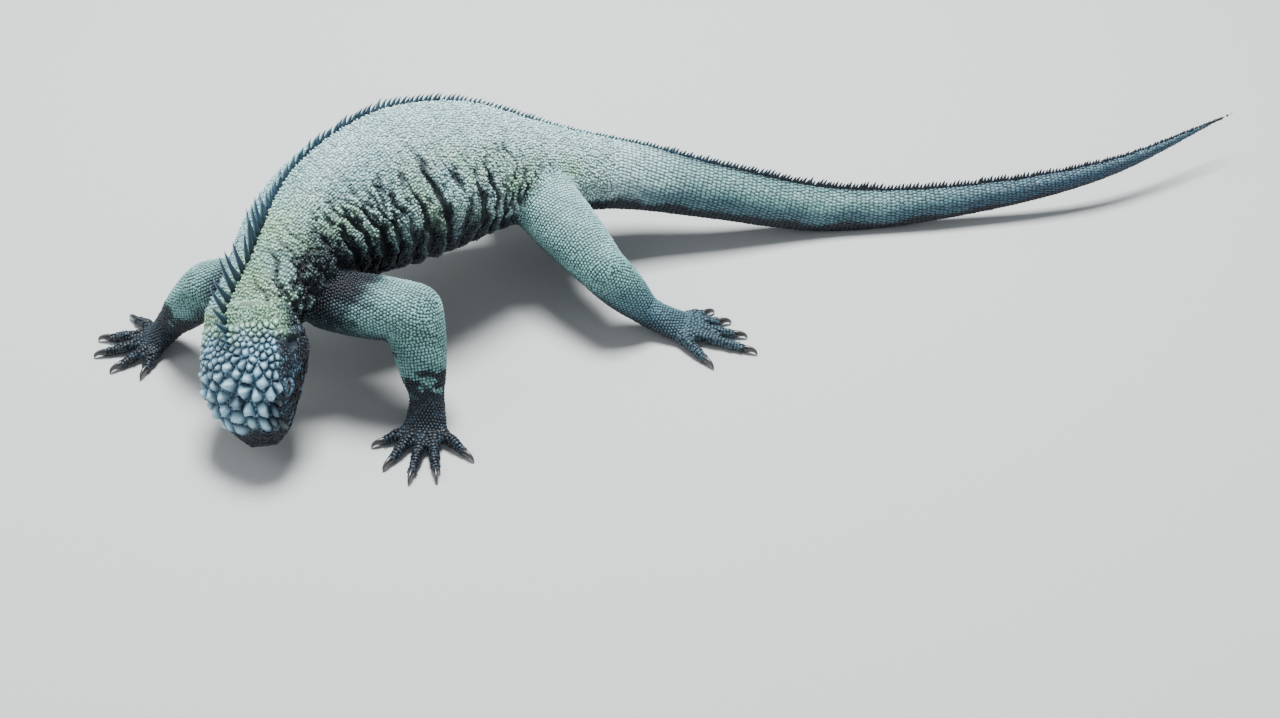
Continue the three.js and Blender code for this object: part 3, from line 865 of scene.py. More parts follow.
@dataclass
class Folds:
    """The wrinkles of the trunk's skin: steep folds down the flanks, with creases and pits between them.

    Distances run along the trunk's axis from the neck, in millimetres. Sides are angles from the back.
    """

    trunk: Trunk
    start: Pair = (16, 50)
    stop: Pair = (296, 350)
    neck: Pair = (70, 140)
    shoulder: Pair = (120, 215)
    slant: float = 12
    slant_span: Pair = (150, 230)
    counted_at: tuple[float, ...] = (0, 110, 270, 370)
    counts: tuple[float, ...] = (0, 8.5, 18.5, 27.9)
    valley_at: float = 0.55
    ridge_at: float = 0.16
    ridge_spread: float = 0.13
    valley_depth: float = 5.6
    ridge_height: float = 1.5
    crease_gap: float = 6.1
    crease_width: float = 0.36
    crease_depth: float = 0.8
    ragged_depth: float = 0.85
    pit_depth: float = 1.1
    most: int = 64
    seed: int = 17

    def __post_init__(self) -> None:
        """Draws each fold's own chances: where it starts, how strong it is and where its ridge lies."""
        self.chances = np.random.default_rng(self.seed).random((2, self.most, 3))

    def at(self, share: np.ndarray, angle: np.ndarray) -> tuple[np.ndarray, np.ndarray, np.ndarray]:
        """The wrinkles at places of the trunk.

        Args:
            share: Shares of the trunk's length.
            angle: Angles round it.

        Returns:
            How far the skin is drawn in, in millimetres, how much painted shade darkens the valleys, creases
            and pits, and how sharp the ridges.
        """
        travel = share * self.trunk.axis.length
        side = np.abs(np.angle(np.exp(1j * angle)))
        hand = (np.sin(angle) < 0).astype(int)
        spots = np.stack([travel, side * 40, hand * 60.0], -1)
        wander = 4.0 * ripple(spots, 80, 3) + 2.6 * ripple(spots, 24, 4) + 1.0 * ripple(spots, 11, 9)
        neck = 1 - step(travel, *self.neck)
        shift = (side - 1.0) * (self.slant * step(travel, *self.slant_span) - self.slant * neck)
        reach = step(travel, *self.start) * (1 - step(travel, *self.stop))
        phase = np.interp(travel - shift + wander, self.counted_at, self.counts)
        fold = np.floor(phase).astype(int)
        place = phase - fold
        chance = self.chances[hand, np.clip(fold, 0, self.most - 1)]
        first = 0.5 + 0.6 * chance[..., 0] - 0.4 * neck
        along = step(side, first, first + 0.55) * (1 - 0.55 * step(side, 2.4, 3.0))
        force = reach * along * (0.45 + 0.6 * chance[..., 1]) * (0.85 + 0.35 * ripple(spots, 26, 10))
        force = np.maximum(force, 0)
        width = 0.085 + 0.13 * step(side, 1.0, 2.0) + 0.03 * ripple(spots, 14, 7)
        valley = np.exp(-(((place - self.valley_at) / np.maximum(width, 0.05)) ** 2))
        ridge = bell(place, self.ridge_at + 0.1 * chance[..., 2], self.ridge_spread)
        deep = 0.5 + 0.5 * step(side, 0.9, 1.8) - 0.2 * neck
        crease = self._creases(spots, travel + 1.2 * wander - shift) * reach * step(side, 0.35, 1.1)
        rough = ripple(spots, 9, 8) + 0.6 * ripple(spots, 5, 13)
        ragged = rough * reach * step(side, 0.5, 1.2)
        front = 1 - step(travel, *self.shoulder)
        pits = reach * front * step(side + 0.2 * ripple(spots, 40, 14), 0.55, 1.25) * step(rough, -0.1, 0.55)
        sink = force * (self.valley_depth * valley * deep - self.ridge_height * ridge)
        sink = sink + self.crease_depth * crease + self.ragged_depth * ragged + self.pit_depth * pits
        # Painted shade: the fold valleys, the fine creases, the sunk rough patches and the pits are
        # darkened.
        dark = np.clip(force * valley * 1.5, 0, 1) + 0.35 * np.clip(crease, 0, 1)
        dark = dark + 0.4 * step(ragged, 0.5, 1.1) + 0.85 * pits
        return sink, np.clip(dark, 0, 1), force * ridge

    def _creases(self, spots: np.ndarray, along: np.ndarray) -> np.ndarray:
        """How strongly the fine creases between the folds show.

        Args:
            spots: Places on the flattened trunk, in millimetres.
            along: Distances along the trunk that follow the folds' own course.

        Returns:
            One number for each place, about 1 at the bottom of a crease.
        """
        thin = np.abs(np.sin(math.pi * (along + 3 * ripple(spots, 30, 5)) / self.crease_gap))
        return np.exp(-((thin / self.crease_width) ** 2)) * (0.6 + 0.5 * ripple(spots, 36, 6))


@dataclass(frozen=True)
class Palette:
    """The animal's colours, as a shader takes them."""

    mint: np.ndarray = field(default_factory=lambda: paint(0.61, 0.83, 0.83))
    white: np.ndarray = field(default_factory=lambda: paint(0.85, 0.99, 1.0))
    straw: np.ndarray = field(default_factory=lambda: paint(0.66, 0.84, 0.64))
    moss: np.ndarray = field(default_factory=lambda: paint(0.31, 0.50, 0.49))
    slate: np.ndarray = field(default_factory=lambda: paint(0.19, 0.32, 0.41))
    ink: np.ndarray = field(default_factory=lambda: paint(0.035, 0.085, 0.135))
    steel: np.ndarray = field(default_factory=lambda: paint(0.54, 0.73, 0.84))
    lid_dark: np.ndarray = field(default_factory=lambda: paint(0.11, 0.19, 0.25))
    lid_pale: np.ndarray = field(default_factory=lambda: paint(0.42, 0.58, 0.68))


@dataclass
class Markings:
    """The markings, the same on the skin and its scales, with painted shade and painted highlights among
    them.

    Spans along the trunk are distances from the neck, in millimetres; on the limbs they are heights.
    """

    body: Body
    folds: Folds
    inks: Palette = field(default_factory=Palette)
    # Where the pale saddle over the hips is palest and how far it spreads; partly the back's own colour,
    # partly painted light from above.
    pale_lit_saddle: Pair = (320, 150)
    neck_end: Pair = (70, 150)
    flank_sides: Pair = (0.6, 1.3)
    hips: Pair = (330, 400)
    far_side_end: Pair = (300, 400)
    tail_start: Pair = (390, 500)
    tail_end: Pair = (560, 800)
    # Where the painted shade under the belly is full, as an angle from the back.
    belly_shade_end: float = 2.15
    # Painted shade in the folds round the shoulders: each ball's middle and radius.
    armpit_shades: tuple[tuple[Spot, float], ...] = (
        ((-222, -27, 108), 31),
        ((-204, 0, 88), 26),
        ((-306, -24, 88), 17),
    )
    # Painted shade on the fore limbs round this place, fading out between these distances from it.
    shoulder: Spot = (-232, -22, 100)
    shoulder_shade_fade: Pair = (22, 47)
    hind_starts: Pair = (-110, -80)
    glove: Pair = (44, 54)
    shin: Pair = (24, 64)
    sole: Pair = (8, 26)
    # Where the painted shade over the muzzle starts and is full, along the head.
    muzzle: Pair = (70, 79)

    def blend(self, a: np.ndarray, b: np.ndarray, share: np.ndarray) -> np.ndarray:
        """Colours between two colours, in steps that look even to the eye."""
        share = np.clip(share, 0, 1)[..., None]
        return (a**EVEN * (1 - share) + b**EVEN * share) ** (1 / EVEN)

    def layers(self, made: np.ndarray, *coats: tuple[np.ndarray, np.ndarray | float]) -> np.ndarray:
        """A colour with others laid over it, each by its own share."""
        for colour, share in coats:
            made = self.blend(made, colour, share)
        return made

    def trunk_colour(self, share: np.ndarray, angle: np.ndarray, places: np.ndarray) -> np.ndarray:
        """Colours of the neck, body and tail, with painted shade and painted highlights among them.

        Args:
            share: Shares of the trunk's length.
            angle: Angles round it.
            places: The places in space, in millimetres.

        Returns:
            A colour for each place.
        """
        inks = self.inks
        travel = share * self.body.trunk.axis.length
        side = np.abs(np.angle(np.exp(1j * angle)))
        cloud = ripple(places, 46, 11)
        speck = ripple(places, 8, 12)
        _, dark, ridge = self.folds.at(share, angle)
        ridge = np.clip(ridge, 0, 1)
        flank = step(side, *self.flank_sides) * (1 - step(travel, *self.hips))
        neck = 1 - step(travel, *self.neck_end)
        far_side = step(-np.sin(angle), 0.05, 0.5) * (1 - step(travel, *self.far_side_end))
        tail = step(travel, *self.tail_start)
        grey = self.blend(inks.mint, inks.moss, 0.55 + 0.15 * cloud)
        grey = self.blend(grey, inks.slate, step(travel, *self.tail_end))
        # Painted shade on the tail's underside.
        under_tail_shade = step(travel, 380, 450) * step(side + 0.15 * cloud, 1.15, 1.75)
        # Painted shade under the belly: the lower flanks and the underside are darkened by angle round the
        # trunk.
        belly_shade_start = 1.5 + 0.35 * step(travel, 200, 300)
        low = step(side + 0.1 * cloud + 0.04 * speck, belly_shade_start, self.belly_shade_end)
        return self.layers(
            inks.mint,
            # The back's own pale colour, paler over the hips partly as painted light where light from above
            # falls brightest.
            (inks.white, 0.72 + 0.4 * bell(travel, *self.pale_lit_saddle) + 0.22 * cloud),
            (inks.straw, flank * (0.36 + 0.35 * cloud)),
            (inks.straw, 0.75 * neck * (0.75 + 0.3 * cloud)),
            (inks.moss, 0.06 + 0.18 * speck),
            (inks.steel, 0.55 * far_side),
            (grey, tail),
            # Painted highlight: a pale line along each side of the tail.
            (inks.white, 0.5 * bell(side, 0.8, 0.34) * tail * (0.7 + 0.3 * speck)),
            (inks.ink, 0.8 * tail * (1 - step(side, 0.1, 0.42))),
            (inks.slate, 0.55 * under_tail_shade),
            # Painted shade under the belly, lighter on the fold ridges.
            (inks.ink, low * (0.95 - 0.5 * ridge)),
            # Painted shade in the folds round the shoulders.
            (inks.ink, 0.9 * self._armpit_shade(places, speck)),
            # Painted highlight: the fold ridges are paler where they stand out into the light.
            (inks.white, 0.3 * ridge * (1 - low)),
            # Painted shade in the fold valleys, creases and pits.
            (inks.ink, 0.93 * dark),
        )

    def _armpit_shade(self, places: np.ndarray, speck: np.ndarray) -> np.ndarray:
        """How deep in the painted shade of the folds round the shoulders each place lies.

        Args:
            places: The places in space, in millimetres.
            speck: Small waves that roughen the edge.

        Returns:
            A number from 0, outside, to 1.
        """
        made = np.zeros(places.shape[:-1])
        for centre, reach in self.armpit_shades:
            away = np.linalg.norm(places - np.array(centre, float), axis=-1) / reach
            made = np.maximum(made, np.exp(-((away + 0.12 * speck) ** 4)))
        return made

    def limb_colour(self, places: np.ndarray, inward: np.ndarray) -> np.ndarray:
        """Colours of the limbs: pale grey-green above, dark on the hands and the feet, with painted shade
        beneath and near the shoulders.

        Args:
            places: The places in space, in millimetres.
            inward: How far the skin faces down, from -1 to 1; skin that faces down gets painted shade.

        Returns:
            A colour for each place.
        """
        inks = self.inks
        cloud = ripple(places, 30, 21)
        speck = ripple(places, 8, 22)
        height = places[..., 2]
        hind = step(places[..., 0], *self.hind_starts)
        fore = 1 - hind
        shin = 1 - step(height + 6 * cloud, *self.shin)
        glove = (1 - step(height + 13 * cloud + 8 * speck, *self.glove)) * fore
        sole = hind * (1 - step(height + 4 * cloud, *self.sole))
        away = np.linalg.norm(places - np.array(self.shoulder, float), axis=-1) + 7 * cloud + 4 * speck
        return self.layers(
            inks.moss,
            (inks.mint, 0.62 + 0.25 * cloud - 0.22 * fore),
            (inks.white, (0.25 + 0.25 * hind) * step(height, 62, 95)),
            (inks.slate, 0.62 * hind * shin),
            (inks.ink, 0.92 * glove + 0.45 * sole),
            (inks.slate, 0.4 * glove * step(speck, 0.0, 0.6)),
            # Painted shade on the upper fore limbs near the shoulder, where they go under the body's folds.
            (inks.ink, 0.9 * fore * (1 - step(away, *self.shoulder_shade_fade))),
            # Painted shade in the folds round the shoulders.
            (inks.ink, 0.85 * self._armpit_shade(places, speck)),
            # Painted shade where the skin faces down.
            (inks.ink, 0.85 * step(inward, 0.05, 0.7)),
        )

    def head_colour(self, places: np.ndarray) -> np.ndarray:
        """Colours of the head: pale steel on the crown, dark slate on its sides and muzzle, painted shade
        deepening the muzzle, and painted highlights in pale streaks on its upper parts.

        Args:
            places: The places in space, in millimetres.

        Returns:
            A colour for each place.
        """
        inks = self.inks
        skull = self.body.skull
        local = skull.local(places)
        x, y, z = local[..., 0], local[..., 1], local[..., 2]
        streak = ripple(np.stack([x, y * 0.28, z], -1), 5.0, 41)
        cloud = ripple(places, 22, 42)
        nape = self.blend(inks.mint, inks.white, 0.5 + 0.25 * cloud)
        nape = self.layers(nape, (inks.straw, 0.75), (inks.moss, 0.15))
        behind = (1 - step(y + 3 * cloud + 2 * streak, -3, 13)) * step(z + 3 * cloud, -6, 9)
        crown = step(z + 2 * cloud, 11, 17) * (1 - step(y, 68, 75))
        crown = crown * step(y + 4 * cloud + 3 * streak, -8, 14)
        drum = 1 - step(np.hypot((y - skull.drum[0]) / 5.6, (z - skull.drum[1]) / 4.8), 0.8, 1.1)
        return self.layers(
            inks.slate,
            (inks.ink, 0.7 + 0.4 * cloud),
            # Painted highlights: pale streaks on the head's upper parts, fading out lower down.
            (inks.steel, 0.5 * step(streak, 0.5, 1.0) * (1 - step(-z, 8, 20))),
            (nape, behind),
            (self.blend(inks.slate, inks.steel, 0.66 + 0.3 * cloud), crown),
            (inks.slate, 0.8 * drum * (np.abs(x) > 25)),
            # Painted shade over the muzzle.
            (inks.ink, 0.85 * step(y, *self.muzzle)),
        )

    def colour(
        self, surface: Surface, share: np.ndarray, angle: np.ndarray, places: np.ndarray, normals: np.ndarray
    ) -> np.ndarray:
        """The colours of places that lie on one surface.

        Args:
            surface: The surface.
            share: The shares of its length.
            angle: The angles round it.
            places: The places in space, in millimetres.
            normals: The directions out of the skin.

        Returns:
            A colour for each place.
        """
        if surface.region is Region.TRUNK:
            return self.trunk_colour(share, angle, places)
        if surface.region is Region.HEAD:
            return self.head_colour(places)
        # The limbs' painted shade follows how far the skin faces down.
        return self.limb_colour(places, -normals[..., 2])


@dataclass
class Skin:
    """The whole hide in one piece, wrinkled and painted.

    Widths and depths are in millimetres; spans across the head are distances from its middle.
    """

    bench: Bench
    body: Body
    marks: Markings
    voxel: float = 1.95
    rounds: int = 9
    under_scales: float = 0.5
    # The share of the scales' colour left on the hide between them, as painted shade.
    shade_between: float = 0.3
    mouth_depth: float = 2.6
    mouth_width: float = 1.5
    nostril_depth: float = 3.2
    drum_depth: float = 2.8
    socket_depth: float = 7.0
    socket_size: Pair = (7.0, 4.5)
    socket_rim: float = 1.3
    cheek: Pair = (22, 30)

    def build(self) -> bpy.types.Object:
        """Joins the surfaces, remeshes them as one, smooths, wrinkles and paints them.

        Returns:
            The hide.
        """
        hide = self.bench.joined([self.bench.rolled(s) for s in self.body.surfaces()], "iguana_skin")
        remesh = hide.modifiers.new("one hide", "REMESH")
        remesh.mode = "VOXEL"
        remesh.voxel_size = self.voxel * MM
        bpy.ops.object.modifier_apply(modifier=remesh.name)
        edges = np.empty(len(hide.data.edges) * 2, np.int64)
        hide.data.edges.foreach_get("vertices", edges)
        self.edges = edges.reshape(-1, 2)
        places = self._shape(hide)
        self._paint(hide, places)
        corners = [tuple(f.vertices) for f in hide.data.polygons]
        self.tree = BVHTree.FromPolygons([Vector(p) for p in places], corners)
        return hide

    def _shape(self, hide: bpy.types.Object) -> np.ndarray:
        """Smooths the remeshed hide, draws in its wrinkles and carves the face.

        Args:
            hide: The remeshed hide.

        Returns:
            The places of its vertices.
        """
        places = self.bench.design(coordinates(hide))
        self._locate(places)
        soft = np.where(self.region == Region.TRUNK.value, 0.6, 0.5)
        soft = np.where(self.region == Region.DIGIT.value, 0.25, soft)
        for _ in range(self.rounds):
            places = places + (self._mean(places) - places) * soft[:, None]
        set_coordinates(hide, self.bench.row(places))
        normals = self._normals(hide)
        sunk = np.zeros(len(places))
        mine = self.region == Region.TRUNK.value
        sunk[mine] = self.marks.folds.at(self.share[mine], self.angle[mine])[0]
        sunk = sunk * self._near_trunk(mine)
        places = places - normals * (sunk[:, None] + self.under_scales)
        places = self._carve_head(places, normals)
        places[:, 2] = np.maximum(places[:, 2], 0.0)
        set_coordinates(hide, self.bench.row(places))
        shade_smooth(hide)
        return places

    def _paint(self, hide: bpy.types.Object, places: np.ndarray) -> None:
        """Paints the hide in the colours of its scales, darkened as painted shade where it shows in the gaps
        between them.

        Args:
            hide: The finished hide.
            places: The places of its vertices.
        """
        normals = self._normals(hide)
        colours = np.zeros((len(places), 3))
        for k, surface in enumerate(self.body.surfaces()):
            own = self.owner == k
            if own.any():
                where = (self.share[own], self.angle[own], places[own], normals[own])
                colours[own] = self.marks.colour(surface, *where)
        for _ in range(2):
            colours = 0.5 * colours + 0.5 * self._mean(colours)
        self.bench.tone(hide, colours * self.shade_between)

    def _mean(self, values: np.ndarray) -> np.ndarray:
        """The mean of each vertex's neighbours, for each column of values."""
        a, b = self.edges[:, 0], self.edges[:, 1]
        n = len(values)
        count = np.bincount(a, minlength=n) + np.bincount(b, minlength=n)
        total = [np.bincount(a, v[b], minlength=n) + np.bincount(b, v[a], minlength=n) for v in values.T]
        return np.stack(total, -1) / np.maximum(count, 1)[:, None]

    def _normals(self, hide: bpy.types.Object) -> np.ndarray:
        """The directions out of the hide at its vertices."""
        flat = np.empty(len(hide.data.vertices) * 3, np.float32)
        hide.data.vertices.foreach_get("normal", flat)
        return flat.reshape(-1, 3).astype(float)

    def _near_trunk(self, mine: np.ndarray) -> np.ndarray:
        """How far inside the trunk's own skin each vertex is, from 0 at a limb's root to 1."""
        weight = mine.astype(float)[:, None]
        for _ in range(6):
            weight = np.minimum(weight, self._mean(weight))
        return weight[:, 0]

    def _locate(self, places: np.ndarray) -> None:
        """Finds each vertex's surface, and its share and angle there.

        Args:
            places: The places of the vertices.
        """
        spots, owners, shares, angles = [], [], [], []
        for k, surface in enumerate(self.body.surfaces()):
            s, a = np.meshgrid(
                np.linspace(surface.first_share + 0.002, 0.998, surface.rings * 2),
                np.linspace(-math.pi, math.pi, surface.around * 2, endpoint=False),
            )
            s, a = s.ravel(), a.ravel()
            spots.append(surface.place(s, a))
            owners.append(np.full(len(s), k))
            shares.append(s)
            angles.append(a)
        spots, owners, shares, angles = (np.concatenate(x) for x in (spots, owners, shares, angles))
        tree = KDTree(len(spots))
        for i, p in enumerate(spots):
            tree.insert(p, i)
        tree.balance()
        found = np.array([tree.find(p)[1] for p in places])
        self.owner = owners[found]
        self.region = np.array([s.region.value for s in self.body.surfaces()])[self.owner]
        self.share, self.angle = shares[found], angles[found]
        mine = self.owner == 0
        self.share[mine], self.angle[mine] = self.body.trunk.read(places[mine], self.share[mine])

    def _carve_head(self, places: np.ndarray, normals: np.ndarray) -> np.ndarray:
        """Draws in the mouth, the nostrils, the ear drums, the sockets and the fold behind the jaw.

        Args:
            places: The places of the vertices.
            normals: The directions out of the hide there.

        Returns:
            The places once they are carved.
        """
        skull = self.body.skull
        local = skull.local(places)
        x, y, z = np.abs(local[:, 0]), local[:, 1], local[:, 2]
        mouth = self.mouth_depth * bell(z, skull.mouth(y), self.mouth_width) * step(y, 21, 26)
        nostril_x, _, nostril_z = skull.nostril
        nostril = self.nostril_depth * bell(x, nostril_x, 2.2) * bell(z, nostril_z, 2.0) * step(y, 74, 78)
        drum = np.hypot((y - skull.drum[0]) / 5.2, (z - skull.drum[1]) / 4.4)
        drum = self.drum_depth * (1 - step(drum, 0.7, 1.1)) * step(x, 25, 30)
        eye = np.hypot((y - skull.eye[1]) / self.socket_size[0], (z - skull.eye[2]) / self.socket_size[1])
        socket = self.socket_depth * (1 - step(eye, 0.75, 1.05)) - self.socket_rim * bell(eye, 1.3, 0.22)
        socket = socket * step(x, 20, 26)
        edge = y - 2 - 2.5 * bell(z, 0, 14)
        edge = edge + 1.6 * ripple(places, 16, 61)
        rolls = 1.5 * bell(edge, -4.5, 1.9) - 1.3 * bell(edge, 0, 2.4) + 1.2 * bell(edge, 4.2, 1.6)
        rolls = rolls * step(x, 20, 32) * (0.8 + 0.4 * ripple(places, 20, 62))
        streaks = ripple(np.stack([local[:, 0], y * 0.3, z], -1), 5.0, 63)
        rolls = rolls + 0.5 * streaks * step(x, *self.cheek)
        head = self.region == Region.HEAD.value
        inward = (mouth + socket + nostril + drum + rolls) * head
        return places - normals * inward[:, None]


@dataclass
class Scale:
    """The form of one scale: rings of a few sides, raised to a keel or a dome.

    Each ring has its width and its rise, and the tip its place along the scale and its rise, all as shares.
    """

    sides: int
    rings: tuple[Pair, ...]
    tip: Pair
    corner_ahead: bool = False

    def __post_init__(self) -> None:
        """Lays out the vertices and faces of the form, its length along x and its rise along z."""
        first = 0.0 if self.corner_ahead else math.pi / self.sides
        turn = np.arange(self.sides) * 2 * math.pi / self.sides + first
        rows = []
        for wide, rise in self.rings:
            x = np.cos(turn) * wide + self.tip[0] * max(rise, 0)
            rows.append(np.stack([x, np.sin(turn) * wide, np.full(self.sides, rise)], -1))
        self.points = np.vstack([*rows, [[self.tip[0], 0, self.tip[1]]]])
        n, last = self.sides, len(self.rings) * self.sides
        faces: list[tuple[int, ...]] = [tuple(reversed(range(n)))]
        for r in range(len(self.rings) - 1):
            for i in range(n):
                j = (i + 1) % n
                faces.append((r * n + i, r * n + j, (r + 1) * n + j, (r + 1) * n + i))
        top = (len(self.rings) - 1) * n
        faces += [(top + i, top + (i + 1) % n, last) for i in range(n)]
        self.faces = faces


@dataclass(frozen=True)
class Laying:
    """How one kind of scale is laid: its form and sizes, and how closely and evenly it stands."""

    form: Scale
    rise: float
    crowd: float = 0.5
    rough: float = 0.15
    slot: str = "skin"


@dataclass
class Coat:
    """Scales laid in rows over the skin.

    Gaps are distances in millimetres between a surface and the skin that is laid over it.
    """

    bench: Bench
    skin: Skin
    marks: Markings
    most: int = 8200
    widest_gap: float = 6.5
    plain_gap: float = 2.2
    limb_gap: float = 3.2
    fold_gap: float = 3.0
    lowest: float = 0.6
    floor: float = 0.05
    cell: float = 3
    # The share of a scale's colour left at its base, as painted shade between the scales.
    base_shade: float = 0.16
    patch: float = 0.0015
    rng: np.random.Generator = field(default_factory=lambda: np.random.default_rng(5))
    taken: dict[tuple[int, int, int], list[np.ndarray]] = field(default_factory=dict)

    def rows(
        self,
        surface: Surface,
        shares: Pair,
        long: Callable[[float], float],
        wide: Callable[[float], float],
        loose: float = 0.12,
    ) -> Sites:
        """Places for scales in staggered rows along a surface.

        Args:
            surface: The surface to cover.
            shares: Where the rows start and end.
            long: A scale's length at a share, in millimetres.
            wide: A scale's width at a share, in millimetres.
            loose: How far a scale may stray from its place, as a share of its width.

        Returns:
            The share, the angle, the length and the width of each scale.
        """
        made = []
        fine = np.linspace(-math.pi, math.pi, 181)
        share, row = shares[0], 0
        while share < shares[1]:
            ring = surface.place(np.full(fine.shape, share), fine)
            ahead = surface.place(np.full(fine.shape, share + NEARBY), fine)
            stretch = np.median(np.linalg.norm(ahead - ring, axis=1)) / NEARBY
            travel = np.concatenate([[0], np.cumsum(np.linalg.norm(np.diff(ring, axis=0), axis=1))])
            count = max(int(travel[-1] / wide(share)), 3)
            places = np.arange(count) + 0.5 * (row % 2) + self.rng.uniform(-loose, loose, count)
            angle = np.interp(np.mod(places / count, 1.0) * travel[-1], travel, fine)
            drift = self.rng.uniform(-loose, loose, count) * long(share) / stretch
            sizes = (np.full(count, long(share)), np.full(count, travel[-1] / count))
            made.append(np.stack([share + drift, angle, *sizes], -1))
            share += long(share) * 0.9 / max(stretch, 1)
            row += 1
        return tuple(np.vstack(made).T)

    def lay(self, name: str, surface: Surface, sites: Sites, laying: Laying) -> None:
        """Sets a scale at each site, on the skin, as joined meshes.

        Args:
            name: The name of the pieces.
            surface: The surface that the sites are on.
            sites: The share, angle, length and width of each scale.
            laying: The kind of scale.
        """
        kept = self._rooted(surface, sites, laying.crowd)
        if kept is None:
            return
        keep, found, normal = kept
        share, angle, long, wide = (x[keep] for x in sites)
        ahead = surface.place(share + 0.003, angle) - surface.place(share, angle)
        along = unit(ahead - normal * (ahead * normal).sum(-1, keepdims=True))
        across = np.cross(normal, along)
        count = (len(keep), 1)
        colours = self.marks.colour(surface, share, angle, found, normal)
        colours = colours * self.rng.uniform(0.84, 1.16, count)
        vary = self.rng.uniform(0.86, 1.1, (len(keep), 1, 3))
        vary[..., 2] *= self.rng.uniform(1 - laying.rough, 1 + laying.rough, count)
        size = np.stack([long * 0.53, wide * 0.53, wide * laying.rise], -1)[:, None, :]
        shape = laying.form.points[None] * size * vary
        ways = np.stack([along, across, normal], 1)
        places = found[:, None, :] + shape @ ways
        chart = surface.chart(share, angle)
        finish = "scale" if laying.slot == "skin" else "face_scale"
        for part, start in enumerate(range(0, len(keep), self.most)):
            chosen = slice(start, start + self.most)
            label = name if len(keep) <= self.most else f"{name}_{part + 1}"
            piece = self.mesh(label, places[chosen], laying.form, colours[chosen], chart[chosen])
            self.bench.hand_over(piece, finish, laying.slot)

    def _rooted(
        self, surface: Surface, sites: Sites, crowd: float
    ) -> tuple[np.ndarray, np.ndarray, np.ndarray] | None:
        """Finds the sites that have free skin under them.

        Args:
            surface: The surface that the sites are on.
            sites: The share, angle, length and width of each scale.
            crowd: How near two scales may come, as a share of their width.

        Returns:
            The kept sites' numbers, their places on the skin and its directions there, or None without any.
        """
        share, angle, _, wide = sites
        outline = surface.place(share, angle)
        middle = 0.5 * (surface.place(share, angle) + surface.place(share, angle + math.pi))
        keep, found, normal = [], [], []
        for i, p in enumerate(outline):
            spot, out, _, gap = self.skin.tree.find_nearest(Vector(p))
            if spot is None or gap > self.widest_gap or spot[2] < self.lowest:
                continue
            if out.dot(Vector(p - middle[i])) < 0.15 * np.linalg.norm(p - middle[i]):
                continue
            if gap > self.plain_gap and not self._sunk(surface, share[i], angle[i], gap):
                continue
            if self._crowded(np.array(spot), crowd * wide[i]):
                continue
            keep.append(i)
            found.append(spot)
            normal.append(out)
        return (np.array(keep), np.array(found), unit(np.array(normal))) if keep else None

    def _sunk(self, surface: Surface, share: float, angle: float, gap: float) -> bool:
        """Whether a fold explains how far the skin is from a surface."""
        if surface.region is not Region.TRUNK:
            return gap < self.limb_gap
        depth = self.marks.folds.at(np.array([share]), np.array([angle]))[0][0]
        return gap < self.fold_gap + abs(depth)

    def block(self, spot: np.ndarray, reach: float) -> None:
        """Keeps scales away from a place by filling a ball round it with taken spots.

        Args:
            spot: The ball's middle, in millimetres.
            reach: Its radius.
        """
        steps = np.arange(-reach, reach + 0.1, 1.2)
        for away in itertools.product(steps, steps, steps):
            if sum(d * d for d in away) <= reach * reach:
                place = spot + np.array(away)
                self.taken.setdefault(self._cell(place), []).append(place)

    def _cell(self, spot: np.ndarray) -> tuple[int, int, int]:
        """The cell of space that a place lies in."""
        return tuple((spot // self.cell).astype(int))

    def _crowded(self, spot: np.ndarray, room: float) -> bool:
        """Whether another scale already stands this near; if not, the place is taken."""
        cell = self._cell(spot)
        for dx, dy, dz in AROUND:
            for other in self.taken.get((cell[0] + dx, cell[1] + dy, cell[2] + dz), ()):
                if abs(other[0] - spot[0]) + abs(other[1] - spot[1]) + abs(other[2] - spot[2]) < room * 1.4:
                    return True
        self.taken.setdefault(cell, []).append(spot)
        return False

    def mesh(
        self, name: str, places: np.ndarray, form: Scale, colours: np.ndarray, chart: np.ndarray
    ) -> bpy.types.Object:
        """Many copies of one form as a single piece, painted, each on its own patch of the chart.

        Args:
            name: The piece's name.
            places: The places of each copy's vertices, in millimetres.
            form: The form that is copied.
            colours: A colour for each copy, or for each of its vertices.
            chart: Where each copy's patch lies on the unwrapped skin.

        Returns:
            The piece.
        """
        count, per = places.shape[:2]
        sizes = np.array([len(f) for f in form.faces])
        loops = np.concatenate([np.array(f) for f in form.faces])
        copies = np.arange(count)[:, None]
        corner = (loops[None] + copies * per).ravel().astype(np.int32)
        starts = np.concatenate([[0], np.cumsum(sizes)[:-1]])
        starts = (starts[None] + copies * len(loops)).ravel().astype(np.int32)
        mesh = bpy.data.meshes.new(name)
        mesh.vertices.add(count * per)
        flat = places.reshape(-1, 3).copy()
        flat[:, 2] = np.maximum(flat[:, 2], self.floor)
        mesh.vertices.foreach_set("co", self.bench.row(flat).astype(np.float32).ravel())
        mesh.loops.add(len(corner))
        mesh.loops.foreach_set("vertex_index", corner)
        mesh.polygons.add(len(starts))
        mesh.polygons.foreach_set("loop_start", starts)
        mesh.update(calc_edges=True)
        mesh.validate()
        piece = bpy.data.objects.new(name, mesh)
        bpy.context.scene.collection.objects.link(piece)
        shade_smooth(piece)
        if colours.ndim == 2:
            # Painted shade: each scale darkens towards its base, with a slight painted highlight at its top.
            edge = np.clip(form.points[:, 2], 0, 1) ** 0.8
            colours = colours[:, None, :] * (self.base_shade + 0.94 * edge)[None, :, None]
        self.bench.tone(piece, colours.reshape(-1, 3))
        uv = mesh.uv_layers.new(name="OFBake")
        at = (chart[:, None, :] + form.points[None, :, :2] * self.patch).reshape(-1, 2)
        uv.data.foreach_set("uv", at[corner].astype(np.float32).ravel())
        return piece


